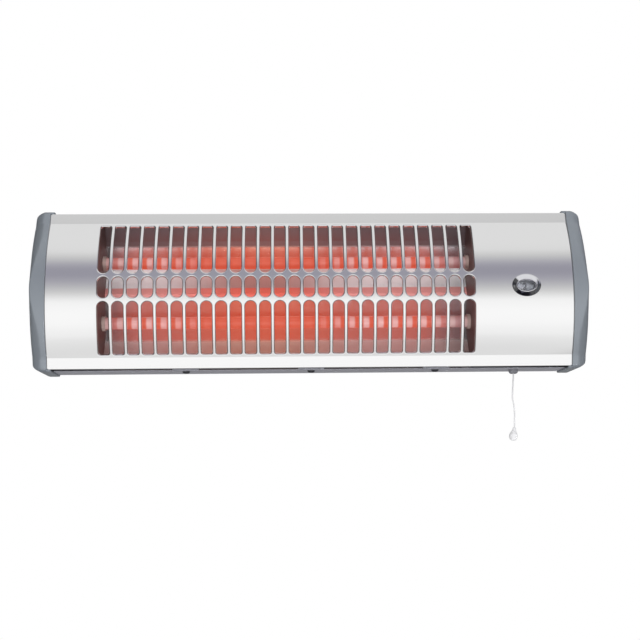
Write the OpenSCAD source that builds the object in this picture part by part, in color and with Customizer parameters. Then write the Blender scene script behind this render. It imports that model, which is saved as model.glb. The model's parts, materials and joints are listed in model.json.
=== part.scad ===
// Wall-mounted electric bar heater with two quartz tubes, a slotted bow front,
// domed end caps, a pull-cord switch with a sight window, and a tilting wall
// bracket. Millimetres. X runs along the heater, the front faces -Y, Z is up.
// The origin is on the wall, midway between the two wall holes.
// "Depth" below is the distance in front of the casing's back face.

/* [Front cover] */
// Width of the cover that shows between the end caps
cover_w = 476; // [440:2:560]
// How far the cover's long edges stand in from the casing's top and bottom faces.
cover_step = 0.2; // [0:0.1:3]
// How far the middle of the cover stands ahead of its edges
cover_bulge = 18.6; // [14:0.2:26]
// Width of the flat band along each long edge
cover_flat = 10.4; // [6:0.1:14]
// Lean of the flat band from upright, in degrees
cover_flat_lean = 12.5; // [5:0.5:18]
// Depth of the cover's long edges
cover_edge_depth = 43.4; // [40:0.2:60]
// Thickness of the cover's steel
cover_t = 0.8; // [0.5:0.1:1.2]
// Length of the cover held inside each cap
cover_in_cap = 5; // [3:0.5:7]
// Width of the turned-in hem along each long edge
cover_hem = 1.2; // [0.8:0.1:3]
// Width of each fixing tab
tab_w = 24; // [14:1:40]
// Distance between neighbouring fixing tabs and their screws
tab_pitch = 115; // [80:1:160]

/* [Grille] */
// Number of slot columns
slot_columns = 26; // [12:1:27]
// Distance from one column to the next
slot_pitch = 13.2; // [12.4:0.1:13.6]
// Width of a slot
slot_w = 9.8; // [5:0.1:10.5]
// Sideways place of the grille's middle
grille_x = -21.8; // [-40:0.2:0]
// Height of a slot in the middle row
slot_mid_h = 19.2; // [12:0.2:24]
// Width of the bar between two rows
slot_row_bar = 3.4; // [2:0.1:6]
// Height of the outer rows' slots
slot_outer_h = 46.5; // [30:0.5:47]
// Corner radius at the outer rows' far ends
slot_corner_r = 2; // [0.8:0.1:2.4]

/* [Casing] */
// Height of the casing
casing_h = 144; // [138:1:152]
// Depth of the casing's top and bottom flanges
casing_depth = 28; // [26:0.5:36]
// Thickness of the casing's steel
casing_t = 0.8; // [0.6:0.1:1.2]
// Distance from the wall to the casing's back
stand_off = 28; // [26:1:50]

/* [End caps] */
// How far a cap's rim stands outside the cover
cap_rim = 2; // [1.6:0.1:4]
// How far a cap reaches past the cover that shows, at mid height
cap_reach = 14.3; // [12:0.1:30]
// How far a cap's top and bottom edges reach past the cover
cap_edge_reach = 6; // [4:0.1:7]
// How far in from the edge a cap's corner curve runs
cap_curve = 7; // [5:0.5:16]
// Wall thickness of a cap
cap_wall = 2.2; // [1.6:0.1:3]
// How far a cap's top and bottom edges lap over the cover and the casing
cap_edge_lap = 3.4; // [1:0.1:5]
// How far a cap's rear lip laps over the casing
cap_lip = 8.5; // [7.5:0.5:14]
// Height of the cap screws above and below the middle
cap_screw_z = 45; // [20:1:55]

/* [Wall bracket] */
// Width of the wall bracket over its ears
bracket_w = 260; // [220:2:360]
// Height of the wall bracket
bracket_h = 36; // [28:1:44]
// Thickness of the bracket's steel
bracket_t = 2; // [1.5:0.1:3]
// Distance between the two wall holes
wall_hole_pitch = 200; // [120:5:210]
// Diameter of a wall hole
wall_hole_d = 5.5; // [4:0.1:8]
// Diameter of the tilt screws
pivot_d = 6; // [4:0.1:8]
// Distance from the wall to the tilt axis
pivot_out = 14; // [12:0.5:14.5]
// Radius of the round end of a bracket ear
bracket_ear_r = 10; // [8:0.5:10.5]
// Radius of the round end of a casing ear
casing_ear_r = 9; // [8:0.5:10]
// Width of a casing ear's foot
ear_foot_w = 15; // [12:0.5:24]
// Thickness of a tilt washer
tilt_washer_t = 1; // [0.5:0.1:2]

/* [Heating tubes] */
// Diameter of a quartz tube
tube_d = 11; // [9:0.1:13]
// Wall thickness of a quartz tube
tube_wall = 1; // [0.8:0.1:1.4]
// Height of each tube above or below the middle
tube_z = 28; // [25:0.5:32]
// Depth of the tubes' axes
tube_depth = 29; // [26:0.5:32]
// How far a tube reaches past the end plate
tube_past_plate = 8; // [5:0.5:10]
// Diameter of the heating coil
coil_d = 7; // [5:0.1:7.5]
// Distance between the coil's drawn rings
coil_pitch = 8; // [5:0.5:12]
// Diameter of a ceramic tube end
ceramic_d = 18; // [17:0.5:20]
// Diameter of a ceramic tube end's neck
ceramic_neck_d = 14; // [13.6:0.1:15]
// Thickness of a ceramic tube end's closed end
ceramic_end_t = 5; // [3:0.5:8]

/* [Reflector] */
// Thickness of the reflector's steel
reflector_t = 0.6; // [0.4:0.1:0.8]
// Depth of the two troughs
trough_depth = 9.5; // [7:0.5:12]
// Depth of the ridge between the troughs
ridge_depth = 20; // [16:0.5:26]
// Thickness of an end plate
plate_t = 0.8; // [0.6:0.1:1.2]
// Width of an end plate's foot
plate_foot_w = 10; // [8:0.5:12]
// Distance from the grille's end slots to the end plates, towards the middle
plate_inset = 0.4; // [0:0.2:8]

/* [Switch] */
// Sideways place of the switch
switch_x = 194; // [190:1:198]
// Height of the switch's middle
switch_z = -12; // [-14:0.5:-6]
// Width of the switch body
switch_w = 38; // [36:1:42]
// Height of the switch body
switch_h = 48; // [44:1:50]
// Depth of the switch body's front
switch_depth = 46; // [44:0.5:48]
// Wall thickness of the switch body
switch_wall = 2.5; // [2:0.1:3]
// Diameter of the rotor's shaft
rotor_d = 6; // [4:0.1:8]
// Diameter of the ratchet wheel
ratchet_d = 22; // [16:0.5:22]
// Number of ratchet teeth, one for each switch position
ratchet_teeth = 6; // [4:2:8]
// Diameter of the digit disc
disc_d = 30; // [26:0.5:32]
// Thickness of the digit disc
disc_t = 1.5; // [1:0.1:2]
// Travel of the pull
pull_travel = 10; // [6:0.5:10]
// Width of the pull bar
bar_w = 8; // [6:0.5:8]
// Wire diameter of the return spring
spring_wire = 1; // [0.6:0.1:1.2]

/* [Sight window] */
// Width of the window's frame
bezel_w = 26.4; // [24:0.2:30]
// Height of the window's frame
bezel_h = 20.7; // [19:0.1:24]
// How far the frame stands ahead of the cover
bezel_out = 2; // [1:0.1:4]
// Width of the lens that shows
lens_w = 16.2; // [12:0.2:18]
// Height of the lens that shows
lens_h = 9.3; // [7:0.1:12]
// Sideways place of the window
window_x = 195; // [190:0.5:204]

/* [Pull cord] */
// Diameter of the cord
cord_d = 1.3; // [1:0.1:2]
// Diameter of the cord guide's flange
guide_d = 9; // [8.4:0.2:14]
// How far the cord guide stands below the casing
guide_out = 4; // [2:0.1:5]
// Bore of the cord guide
guide_bore = 3; // [2.4:0.1:3.6]
// Depth of the pull cord
cord_depth = 18; // [17:0.5:18.5]
// Diameter of the toggle
toggle_d = 7.8; // [6:0.1:12]
// Length of the toggle
toggle_len = 12.5; // [10:0.1:18]

/* [Wiring and fixings] */
// Diameter of the inner leads
lead_d = 2.4; // [1.8:0.1:2.6]
// Diameter of the supply inlet's bore
inlet_d = 7; // [5:0.1:9]
// Diameter of the small screws
screw_d = 3.5; // [3:0.1:4]
// Head diameter of the small screws
head_d = 7; // [5.6:0.1:7.4]
// Head height of the small screws
head_h = 2; // [1.4:0.1:2.4]
// Distance from one terminal to the next
terminal_pitch = 11; // [10:0.5:12]

/* [Fits] */
// Clearance around screws and at seats, on each side
seat_gap = 0.1; // [0.05:0.01:0.15]
// Clearance around turning shafts, on each side
run_gap = 0.05; // [0.03:0.01:0.1]
// Clearance around sliding pieces, on each side
slide_gap = 0.2; // [0.1:0.05:0.3]

/* [Hidden] */
$fn = 48;

// The bow of the cover: its arc runs between the two creases.
half_h = casing_h / 2 - cover_step;
front_depth = cover_edge_depth + cover_bulge;
crease_z = half_h - cover_flat * cos(cover_flat_lean);
crease_rise = cover_bulge - cover_flat * sin(cover_flat_lean);
bow_r = (crease_z * crease_z + crease_rise * crease_rise) / (2 * crease_rise);
bow_centre = front_depth - bow_r;
lean_t = tan(cover_flat_lean);
// A long edge, its depth and height, when the section is grown by o.
function edge_at(o) = [cover_edge_depth + o * (1 / cos(cover_flat_lean) - lean_t), half_h + o];
// Where the grown band meets the grown arc, its depth and height.
function band_line(o) = cover_edge_depth + half_h * lean_t + o / cos(cover_flat_lean) - bow_centre;
function crease_height(o) =
  let (a = band_line(o), m = lean_t, r = bow_r + o)
  (m * a + sqrt(m * m * a * a - (1 + m * m) * (a * a - r * r))) / (1 + m * m);
function crease_at(o) = [bow_centre + band_line(o) - lean_t * crease_height(o), crease_height(o)];
// Depth of the cover's outer face at height z, between the creases.
function bow_at(z) = bow_centre + sqrt(bow_r * bow_r - z * z);

// Lengthwise places.
cover_end = cover_w / 2 + cover_in_cap;
cap_end = cover_w / 2 + cap_reach;
lip_start = cover_w / 2 - cap_lip;
lap_start = cover_w / 2 - cap_edge_lap;
grille_half = (slot_columns - 1) / 2 * slot_pitch + slot_w / 2;
plate_left = grille_x - grille_half + plate_inset;
plate_right = grille_x + grille_half - plate_inset;
casing_half = casing_h / 2;
flange_in = casing_half - casing_t;
tab_out = min(half_h - seat_gap, flange_in - seat_gap);
tab_in = tab_out - cover_t;
tab_screw_depth = casing_depth - 6;
tab_back = tab_screw_depth - 8;
wing_z = tab_in - reflector_t / 2;
wing_depth = casing_depth + 5;
cap_z = half_h + cap_rim;
lip_z = casing_half - 4;

// The wall bracket, from its middle out.
bracket_half = bracket_w / 2;
washer_out = bracket_half + run_gap + tilt_washer_t;
casing_ear_in = washer_out + run_gap;
casing_ear_out = casing_ear_in + bracket_t;
pivot_head_t = 3.4;
pivot_nut_t = 5;
ear_foot_mid = casing_ear_out + ear_foot_w / 2 - 1;
ear_end = casing_ear_in + ear_foot_w;
ear_rivet_z = 10;

// The tubes.
tube_left = plate_left - tube_past_plate;
tube_right = plate_right + tube_past_plate;
ceramic_out = tube_past_plate + ceramic_end_t;
pin_d = 2.6;
pin_out = 2;
spade_w = 6.3;
spade_t = 0.8;
spade_len = 5;
spade_end = ceramic_out + pin_out + spade_len;

// The switch.
switch_l = switch_x - switch_w / 2;
switch_r = switch_x + switch_w / 2;
switch_top = switch_z + switch_h / 2;
switch_low = switch_z - switch_h / 2;
rotor_x = switch_x - 1;
wheel_depth = 27;
wheel_t = 6;
boss_depth = wheel_depth + wheel_t + 1;
disc_depth = front_depth - 8;
foot_w = 12;
foot_h = 8;
foot_t = 3;
shoulder_z = switch_z + 4;
shoulder_t = 6;
bar_x = 189;
bar_low = switch_low - 6 - pull_travel;
spring_low = switch_low + switch_wall;
spring_top = shoulder_z - shoulder_t;
spring_r = bar_w * 0.72 + spring_wire;
tip_x = rotor_x - ratchet_d / 2 - 0.5;
switch_tab = 8;
switch_tab_depth = 20;

// The terminal block and what is near it.
block_in = 37;
block_drop = 26;
block_x = cover_w / 2 - block_in;
block_z = casing_half - block_drop;
block_h = 14;
block_w = 3 * terminal_pitch + 1;
block_depth = casing_t + 12;
inlet_drop = 10;
inlet_z = casing_half - inlet_drop;
inlet_flange = 1.6;
cutout_d = 16;
cutout_x = ear_end + (switch_l - cutout_d / 2 - ear_end) * 0.76;
cutout_depth = casing_t + 8;
cutout_strap = 14;
earth_in = 14;
earth_drop = 25;
earth_x = cover_w / 2 - earth_in;
earth_z = casing_half - earth_drop;
plate_foot_z = 40;
switch_side_depth = 36;
lead_hole = lead_d + 3;
back_lead_z = block_z - 5;
back_lead_depth = 5;

// The cord's route in x, depth and z. It hangs from the pull bar's end.
CORD = [
  [bar_x, cord_depth, bar_low], [bar_x, cord_depth, bar_low - 10],
  [bar_x, cord_depth, -casing_half - 5], [bar_x - 0.6, cord_depth, -casing_half - 13],
  [bar_x - 1.4, cord_depth, -casing_half - 21], [bar_x - 1.6, cord_depth, -casing_half - 28],
  [bar_x - 0.4, cord_depth, -casing_half - 35], [bar_x - 0.4, cord_depth, -casing_half - 43],
  [bar_x - 0.9, cord_depth, -casing_half - 54]
];
// The toggle's lean away from plumb, to the left, in degrees.
toggle_lean = 10;

// --- placing helpers: 2D sketches pushed along an axis ---------------------

// A sketch in depth and z, pushed along X.
module along_x(x0, x1) {
  translate([x0, -stand_off, 0])
    rotate([90, 0, 90])
      linear_extrude(x1 - x0) mirror([1, 0]) children();
}
// A sketch in x and z, pushed forwards from one depth to another.
module along_y(d0, d1) {
  translate([0, -stand_off - d0, 0])
    rotate([90, 0, 0])
      linear_extrude(d1 - d0) children();
}
// A sketch in x and depth, pushed along Z.
module along_z(z0, z1) {
  translate([0, -stand_off, z0])
    linear_extrude(z1 - z0) mirror([0, 1]) children();
}
// Moves a piece that is drawn at the origin to a place in x, depth and z.
module at(x, d, z) {
  translate([x, -stand_off - d, z]) children();
}
module disc(x, y, d) {
  translate([x, y]) circle(d = d);
}
module box2(x0, x1, y0, y1) {
  translate([x0, y0]) square([x1 - x0, y1 - y0]);
}
// Draws its children and their mirror image across the middle height.
module both_heights() {
  children();
  mirror([0, 0, 1]) children();
}
module both_sides() {
  children();
  mirror([1, 0, 0]) children();
}

// A pan-head screw along +Z with its head's seat at the origin.
module screw(len, d = screw_d) {
  rotate_extrude()
    polygon([
      [0, -head_h], [head_d * 0.3, -head_h], [head_d * 0.46, -head_h * 0.6],
      [head_d / 2, 0], [d / 2, 0], [d / 2, len - d / 2], [d / 5, len], [0, len]
    ]);
}
module screw_forward(x, d, z, len) {
  at(x, d, z) rotate([90, 0, 0]) screw(len);
}

// --- sketches ----------------------------------------------------------------

// The section inside the cover's outer face, grown by o. The band's line runs on
// a little inside the arc, so that the two cross at the crease.
module bow(o) {
  e = edge_at(o);
  c = crease_at(o);
  in_d = c[0] + 2 * lean_t;
  in_z = c[1] - 2;
  polygon([[0, -e[1]], [e[0], -e[1]], [in_d, -in_z], [in_d, in_z], [e[0], e[1]], [0, e[1]]]);
  intersection() {
    translate([bow_centre, 0]) circle(r = bow_r + o, $fn = 240);
    box2(c[0] - 1, front_depth + o + 1, -(c[1] + e[1]) / 2, (c[1] + e[1]) / 2);
  }
}
function oval(w, h, n = 48) = [for (i = [0:n - 1]) [w / 2 * cos(360 * i / n), h / 2 * sin(360 * i / n)]];
module oval2(w, h) {
  translate([window_x, 0]) polygon(oval(w, h));
}

// An open line of points given a thickness t, half to each side.
function leftward(v) = [-v[1], v[0]] / norm(v);
function bisect(a, b) = (a + b) / (1 + a * b);
function mitre(p, i) =
  i == 0 ? leftward(p[1] - p[0])
  : i == len(p) - 1 ? leftward(p[i] - p[i - 1])
  : bisect(leftward(p[i] - p[i - 1]), leftward(p[i + 1] - p[i]));
function thick(p, t) = concat(
  [for (i = [0:len(p) - 1]) p[i] + mitre(p, i) * t / 2],
  [for (i = [len(p) - 1:-1:0]) p[i] - mitre(p, i) * t / 2]
);
function upside(p) = [for (i = [len(p) - 1:-1:0]) [p[i][0], -p[i][1]]];

// --- swept leads ---------------------------------------------------------------

function unit(v) = v / norm(v);
function world(p) = [p[0], -stand_off - p[1], p[2]];
// The direction of a smooth line at its point i, as long as the shorter step there.
function slope(p, i) =
  i == 0 ? p[1] - p[0]
  : i == len(p) - 1 ? p[i] - p[i - 1]
  : unit(p[i + 1] - p[i - 1]) * min(norm(p[i + 1] - p[i]), norm(p[i] - p[i - 1]));
function blend(a, b, u, v, t) =
  a + u * t + (3 * (b - a) - 2 * u - v) * t * t + (2 * (a - b) + u + v) * t * t * t;
// A smooth line through points, with n steps between neighbours.
function smooth(p, n) = concat(
  [for (i = [0:len(p) - 2], k = [0:n - 1]) blend(p[i], p[i + 1], slope(p, i), slope(p, i + 1), k / n)],
  [p[len(p) - 1]]
);
function along(p, i) = unit(p[min(i + 1, len(p) - 1)] - p[max(i - 1, 0)]);
function carried(p, u, i) = i == len(p) ? [] :
  let (t = along(p, i), v = unit(u - (u * t) * t)) concat([v], carried(p, v, i + 1));
// A round cord of diameter d along the points p, with n sides.
module sweep(p, d, n = 8) {
  t0 = along(p, 0);
  side = carried(p, abs(t0[2]) > 0.7 ? [1, 0, 0] : [0, 0, 1], 0);
  m = len(p);
  rings = [
    for (i = [0:m - 1], k = [0:n - 1])
      let (t = along(p, i), v = side[i], w = cross(t, v), a = 360 * k / n)
      p[i] + d / 2 * (cos(a) * v + sin(a) * w)
  ];
  walls = [
    for (i = [0:m - 2], k = [0:n - 1])
      let (a = i * n + k, b = i * n + (k + 1) % n)
      each [[a, a + n, b], [b, a + n, b + n]]
  ];
  polyhedron(
    points = rings,
    faces = concat(walls, [[for (k = [0:n - 1]) k]], [[for (k = [n - 1:-1:0]) (m - 1) * n + k]])
  );
}
module lead(p, n = 4) {
  sweep(smooth([for (q = p) world(q)], n), lead_d);
}

// --- the wall side -----------------------------------------------------------

module bracket_ear(x0, x1) {
  translate([x0, 0, 0]) rotate([90, 0, 90]) linear_extrude(x1 - x0)
    difference() {
      union() {
        polygon([
          [0, -bracket_h / 2], [0, bracket_h / 2],
          [-pivot_out, bracket_ear_r], [-pivot_out, -bracket_ear_r]
        ]);
        disc(-pivot_out, 0, 2 * bracket_ear_r);
      }
      disc(-pivot_out, 0, pivot_d + 2 * seat_gap);
    }
}
module wall_bracket() {
  color("gainsboro") {
    difference() {
      translate([-bracket_half, -bracket_t, -bracket_h / 2]) cube([bracket_w, bracket_t, bracket_h]);
      for (s = [-1, 1])
        translate([s * wall_hole_pitch / 2, 1, 0]) rotate([90, 0, 0]) cylinder(d = wall_hole_d, h = bracket_t + 2);
    }
    both_sides() bracket_ear(bracket_half - bracket_t, bracket_half);
  }
}
module on_pivot() {
  both_sides() translate([0, -pivot_out, 0]) rotate([0, 90, 0]) children();
}
module pivot_screws() {
  color("silver") on_pivot() {
    translate([0, 0, bracket_half - bracket_t - pivot_nut_t - 3])
      cylinder(d = pivot_d, h = casing_ear_out + run_gap + 3 + pivot_nut_t + bracket_t - bracket_half);
    translate([0, 0, casing_ear_out + run_gap]) difference() {
      cylinder(d = pivot_d * 2, h = pivot_head_t);
      translate([-pivot_d, -0.6, pivot_head_t - 1.2]) cube([2 * pivot_d, 1.2, 3]);
    }
  }
}
module pivot_nuts() {
  color("silver") on_pivot()
    translate([0, 0, bracket_half - bracket_t - pivot_nut_t]) difference() {
      cylinder(d = pivot_d * 1.9, h = pivot_nut_t, $fn = 6);
      translate([0, 0, -1]) cylinder(d = pivot_d + 2 * seat_gap, h = pivot_nut_t + 2);
    }
}
module tilt_washers() {
  color("ivory") on_pivot()
    translate([0, 0, bracket_half]) difference() {
      cylinder(d = pivot_d * 2.4, h = tilt_washer_t);
      translate([0, 0, -1]) cylinder(d = pivot_d + 2 * seat_gap, h = tilt_washer_t + 2);
    }
}

// --- the casing --------------------------------------------------------------

module hinge_ears() {
  color("darkgray") both_sides() {
    translate([casing_ear_in, 0, 0]) rotate([90, 0, 90]) linear_extrude(bracket_t)
      difference() {
        union() {
          polygon([
            [-stand_off, -15], [-stand_off, 15],
            [-pivot_out, casing_ear_r], [-pivot_out, -casing_ear_r]
          ]);
          disc(-pivot_out, 0, 2 * casing_ear_r);
        }
        disc(-pivot_out, 0, pivot_d + 2 * run_gap);
      }
    difference() {
      along_y(-bracket_t, 0) box2(casing_ear_in, casing_ear_in + ear_foot_w, -15, 15);
      both_heights() along_y(-bracket_t - 1, 1) disc(ear_foot_mid, ear_rivet_z, 4 + 2 * seat_gap);
    }
  }
}
module ear_rivets() {
  color("silver") both_sides() both_heights() {
    along_y(-bracket_t - 1.6, -bracket_t) disc(ear_foot_mid, ear_rivet_z, 7);
    along_y(-bracket_t, casing_t) disc(ear_foot_mid, ear_rivet_z, 4);
    along_y(casing_t, casing_t + 1.2) disc(ear_foot_mid, ear_rivet_z, 6);
  }
}
module back_holes() {
  both_sides() both_heights() along_y(-1, casing_t + 1) {
    disc(ear_foot_mid, ear_rivet_z, 4 + 2 * seat_gap);
    disc(lip_start + cap_lip / 2, cap_screw_z, screw_d + 2 * seat_gap);
  }
  along_y(-1, casing_t + 1) {
    disc(switch_x, switch_top + foot_h / 2, screw_d + 2 * seat_gap);
    disc(switch_x, switch_low - foot_h / 2, screw_d + 2 * seat_gap);
    disc(block_x, inlet_z, inlet_d + 3 + 2 * seat_gap);
    disc(earth_x, earth_z, screw_d + 2 * seat_gap);
    for (s = [-1, 1]) {
      disc(block_x + s * terminal_pitch / 2, block_z, screw_d + 2 * seat_gap);
      disc(cutout_x, s * (cutout_strap - 2), 3 + 2 * seat_gap);
      disc(plate_right + plate_t + plate_foot_w / 2, s * plate_foot_z, screw_d + 2 * seat_gap);
      disc(plate_left - plate_t - plate_foot_w / 2, s * plate_foot_z, screw_d + 2 * seat_gap);
    }
  }
}
module flange_holes() {
  both_heights() along_z(flange_in - 1, casing_half + 1)
    for (i = [-1:1]) disc(i * tab_pitch, tab_screw_depth, screw_d + 2 * seat_gap);
  along_z(-casing_half - 1, -flange_in + 1)
    disc(bar_x, cord_depth, guide_bore + 2.4 + 2 * seat_gap);
}
module back_casing() {
  color("slategray") difference() {
    along_x(-cover_end, cover_end) difference() {
      box2(0, casing_depth, -casing_half, casing_half);
      box2(casing_t, casing_depth + 1, -flange_in, flange_in);
    }
    back_holes();
    flange_holes();
  }
}

// --- the front cover -----------------------------------------------------------

// A slot of the outer rows: round at its inner end, squarer at its far end.
module outer_slot(z0) {
  r = slot_corner_r;
  w = slot_w / 2;
  translate([0, z0 + w]) circle(r = w);
  box2(-w, w, z0 + w, z0 + slot_outer_h - r);
  box2(-w + r, w - r, z0 + w, z0 + slot_outer_h);
  for (s = [-1, 1])
    translate([s * (w - r), z0 + slot_outer_h - r]) circle(r = r, $fn = 24);
}
module middle_slot() {
  w = slot_w / 2;
  h = slot_mid_h / 2 - w;
  box2(-w, w, -h, h);
  for (s = [-1, 1]) translate([0, s * h]) circle(r = w);
}
module slots() {
  for (i = [0:slot_columns - 1])
    translate([grille_x + (i - (slot_columns - 1) / 2) * slot_pitch, 0]) {
      middle_slot();
      outer_slot(slot_mid_h / 2 + slot_row_bar);
      mirror([0, 1]) outer_slot(slot_mid_h / 2 + slot_row_bar);
    }
}
module front_cover() {
  color("whitesmoke") difference() {
    union() {
      along_x(-cover_end, cover_end) intersection() {
        difference() {
          bow(0);
          bow(-cover_t);
        }
        box2(cover_edge_depth - cover_hem, front_depth + 1, -half_h - 1, half_h + 1);
      }
      both_heights() for (i = [-1:1])
        along_x(i * tab_pitch - tab_w / 2, i * tab_pitch + tab_w / 2)
          box2(tab_back, cover_edge_depth - 0.4, tab_in, tab_out);
    }
    along_y(cover_edge_depth - 2, front_depth + 2) {
      slots();
      oval2(lens_w + 4.4, lens_h + 4.4);
    }
    both_heights() along_z(tab_in - 1, tab_out + 1)
      for (i = [-1:1]) disc(i * tab_pitch, tab_screw_depth, screw_d + 2 * seat_gap);
  }
}
module cover_screws() {
  color("silver") both_heights() for (i = [-1:1])
    at(i * tab_pitch, tab_screw_depth, -casing_half) screw(9);
}

// --- the end caps ------------------------------------------------------------

// The section's outline grown by o, as points, from the lower back corner round.
function arc_points(o, n = 24) =
  let (c = crease_at(o), a = asin(c[1] / (bow_r + o)))
  [for (i = [0:n]) let (t = -a + 2 * a * i / n) [bow_centre + (bow_r + o) * cos(t), (bow_r + o) * sin(t)]];
// A rounded corner of radius r at point b, between points a and c.
function corner(a, b, c, r, n = 4) =
  let (
    u = unit(a - b), v = unit(c - b), h = acos(u * v) / 2,
    m = b + unit(u + v) * r / sin(h), s = b + u * r / tan(h) - m,
    turn = 180 - 2 * h
  )
  [for (i = [0:n]) let (t = turn * i / n) m + [s[0] * cos(t) - s[1] * sin(t), s[0] * sin(t) + s[1] * cos(t)]];
function outline(o) =
  let (
    e = edge_at(o), c = crease_at(o), k = -o,
    low = [k, -e[1]], high = [k, e[1]], front_low = [e[0], -e[1]], front_high = [e[0], e[1]],
    r = max(0.4, 2 + o)
  )
  concat(
    corner(high, low, front_low, r), corner(low, front_low, [c[0], -c[1]], r),
    arc_points(o), corner([c[0], c[1]], front_high, high, r), corner(front_high, high, low, r)
  );
function ease(t) = let (k = max(0, min(1, t))) k * k * (3 - 2 * k);
// How far the cap reaches at its edge, and over its end, at height z.
edge_full = cap_reach - 0.8;
edge_fall_z = 51;
end_crown = 0.9;
function edge_reach(z) = edge_full - (edge_full - cap_edge_reach) * ease(abs(z) / edge_fall_z);
function end_reach(z) = cap_reach - end_crown * pow(min(1, abs(z) / cap_z), 2);
function cap_x(s, z) = end_reach(z) - (end_reach(z) - edge_reach(z)) * pow(max(0, 1 - s / cap_curve), 2);
CAP_INSETS = [0, 0.8, 2, 4, 7, 11, 16, 22];
// The cap's solid inside its skin, k deep, starting at x0.
module cap_solid(x0, k) {
  rings = concat(
    [for (p = outline(cap_rim - k)) [x0, -stand_off - p[0], p[1]]],
    [
      for (s = CAP_INSETS, p = outline(cap_rim - k - s))
        [cover_w / 2 + cap_x(s, p[1]) - k * 0.9, -stand_off - p[0], p[1]]
    ]
  );
  n = len(outline(0));
  m = len(CAP_INSETS) + 1;
  last = len(rings);
  mid = [cover_w / 2 + cap_reach - k * 0.9, -stand_off - front_depth / 2, 0];
  polyhedron(
    points = concat(rings, [mid]),
    faces = concat(
      [
        for (i = [0:m - 2], j = [0:n - 1])
          let (a = i * n + j, b = i * n + (j + 1) % n)
          each [[a, b, a + n], [b, b + n, a + n]]
      ],
      [[for (j = [n - 1:-1:0]) j]],
      [for (j = [0:n - 1]) [(m - 1) * n + j, (m - 1) * n + (j + 1) % n, last]]
    )
  );
}
module end_cap() {
  g = seat_gap;
  difference() {
    cap_solid(lip_start, 0);
    // the seat of the cover and the casing
    along_x(lip_start - 1, cover_end + g) {
      bow(g);
      box2(-g, casing_depth + g, -casing_half - g, casing_half + g);
    }
    // the hollow under the dome
    cap_solid(cover_end - 1, cap_wall);
    // the front rim ends with the cover that shows, the top and bottom edges
    // lap over it, and only the rear lip reaches further in
    along_x(lip_start - 1, cover_w / 2)
      box2(cover_edge_depth, front_depth + cap_rim + 1, -cap_z - 1, cap_z + 1);
    along_x(lip_start - 1, lap_start) box2(0, cover_edge_depth + 1, -cap_z - 1, cap_z + 1);
    both_heights() along_x(lip_start - 1, lap_start) box2(-cap_rim - 1, 1, lip_z, cap_z + 1);
    both_heights() along_y(-cap_rim - 1, 1)
      disc(lip_start + cap_lip / 2, cap_screw_z, screw_d + 2 * g);
  }
}
module right_end_cap() {
  color("lightslategray") end_cap();
}
module left_end_cap() {
  color("lightslategray") mirror([1, 0, 0]) end_cap();
}
module cap_screws() {
  color("silver") both_sides() both_heights()
    screw_forward(lip_start + cap_lip / 2, -cap_rim, cap_screw_z, 7);
}

// --- the reflector and its end plates ------------------------------------------

// A trough is a parabola with its tube in the focus. Its depth at height z.
function trough_at(z) = trough_depth + pow(z - tube_z, 2) / (4 * (tube_depth - trough_depth));
trough_half = 24;
WING = concat(
  [[tab_back, wing_z], [wing_depth, wing_z]],
  [for (i = [4:-1:-4]) let (z = tube_z + i * trough_half / 4) [trough_at(z), z]]
);
module reflector() {
  color("silver") difference() {
    along_x(plate_left, plate_right)
      polygon(thick(concat(upside([for (i = [0:len(WING) - 1]) WING[len(WING) - 1 - i]]),
        [[ridge_depth, 0]], [for (i = [len(WING) - 1:-1:0]) WING[i]]), reflector_t));
    both_heights() along_z(wing_z - 2, wing_z + 2)
      for (i = [-1:1]) disc(i * tab_pitch, tab_screw_depth, screw_d + 2 * seat_gap);
  }
}
// An end plate on the right, with its foot turned outwards.
module end_plate(x) {
  difference() {
    union() {
      along_x(x, x + plate_t) intersection() {
        bow(-cover_t - 3 * seat_gap);
        box2(casing_t, front_depth, -wing_z + 1, wing_z - 1);
      }
      both_heights() along_y(casing_t, casing_t + plate_t)
        box2(x, x + plate_t + plate_foot_w, plate_foot_z - 8, plate_foot_z + 8);
    }
    along_x(x - 1, x + plate_t + 1) {
      for (s = [-1, 1]) disc(tube_depth, s * tube_z, ceramic_neck_d + 2 * seat_gap);
    }
    both_heights() along_y(casing_t - 1, casing_t + plate_t + 1)
      disc(x + plate_t + plate_foot_w / 2, plate_foot_z, screw_d + 2 * seat_gap);
  }
}
module lead_way(x) {
  along_x(x - 2, x + 2) disc(back_lead_depth + casing_t, back_lead_z - 12, lead_hole);
}
module right_end_plate() {
  color("gray") difference() {
    end_plate(plate_right);
    lead_way(plate_right);
  }
}
module left_end_plate() {
  color("gray") difference() {
    mirror([1, 0, 0]) end_plate(-plate_left);
    lead_way(plate_left);
  }
}
module plate_screws() {
  color("silver") both_heights() {
    screw_forward(plate_right + plate_t + plate_foot_w / 2, 0, plate_foot_z, 5);
    screw_forward(plate_left - plate_t - plate_foot_w / 2, 0, plate_foot_z, 5);
  }
}

// --- the tubes -------------------------------------------------------------------

module quartz_tube(z) {
  along_x(tube_left, tube_right) difference() {
    disc(tube_depth, z, tube_d);
    disc(tube_depth, z, tube_d - 2 * tube_wall);
  }
}
module upper_quartz_tube() {
  color("mistyrose") quartz_tube(tube_z);
}
module lower_quartz_tube() {
  color("mistyrose") quartz_tube(-tube_z);
}
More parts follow.
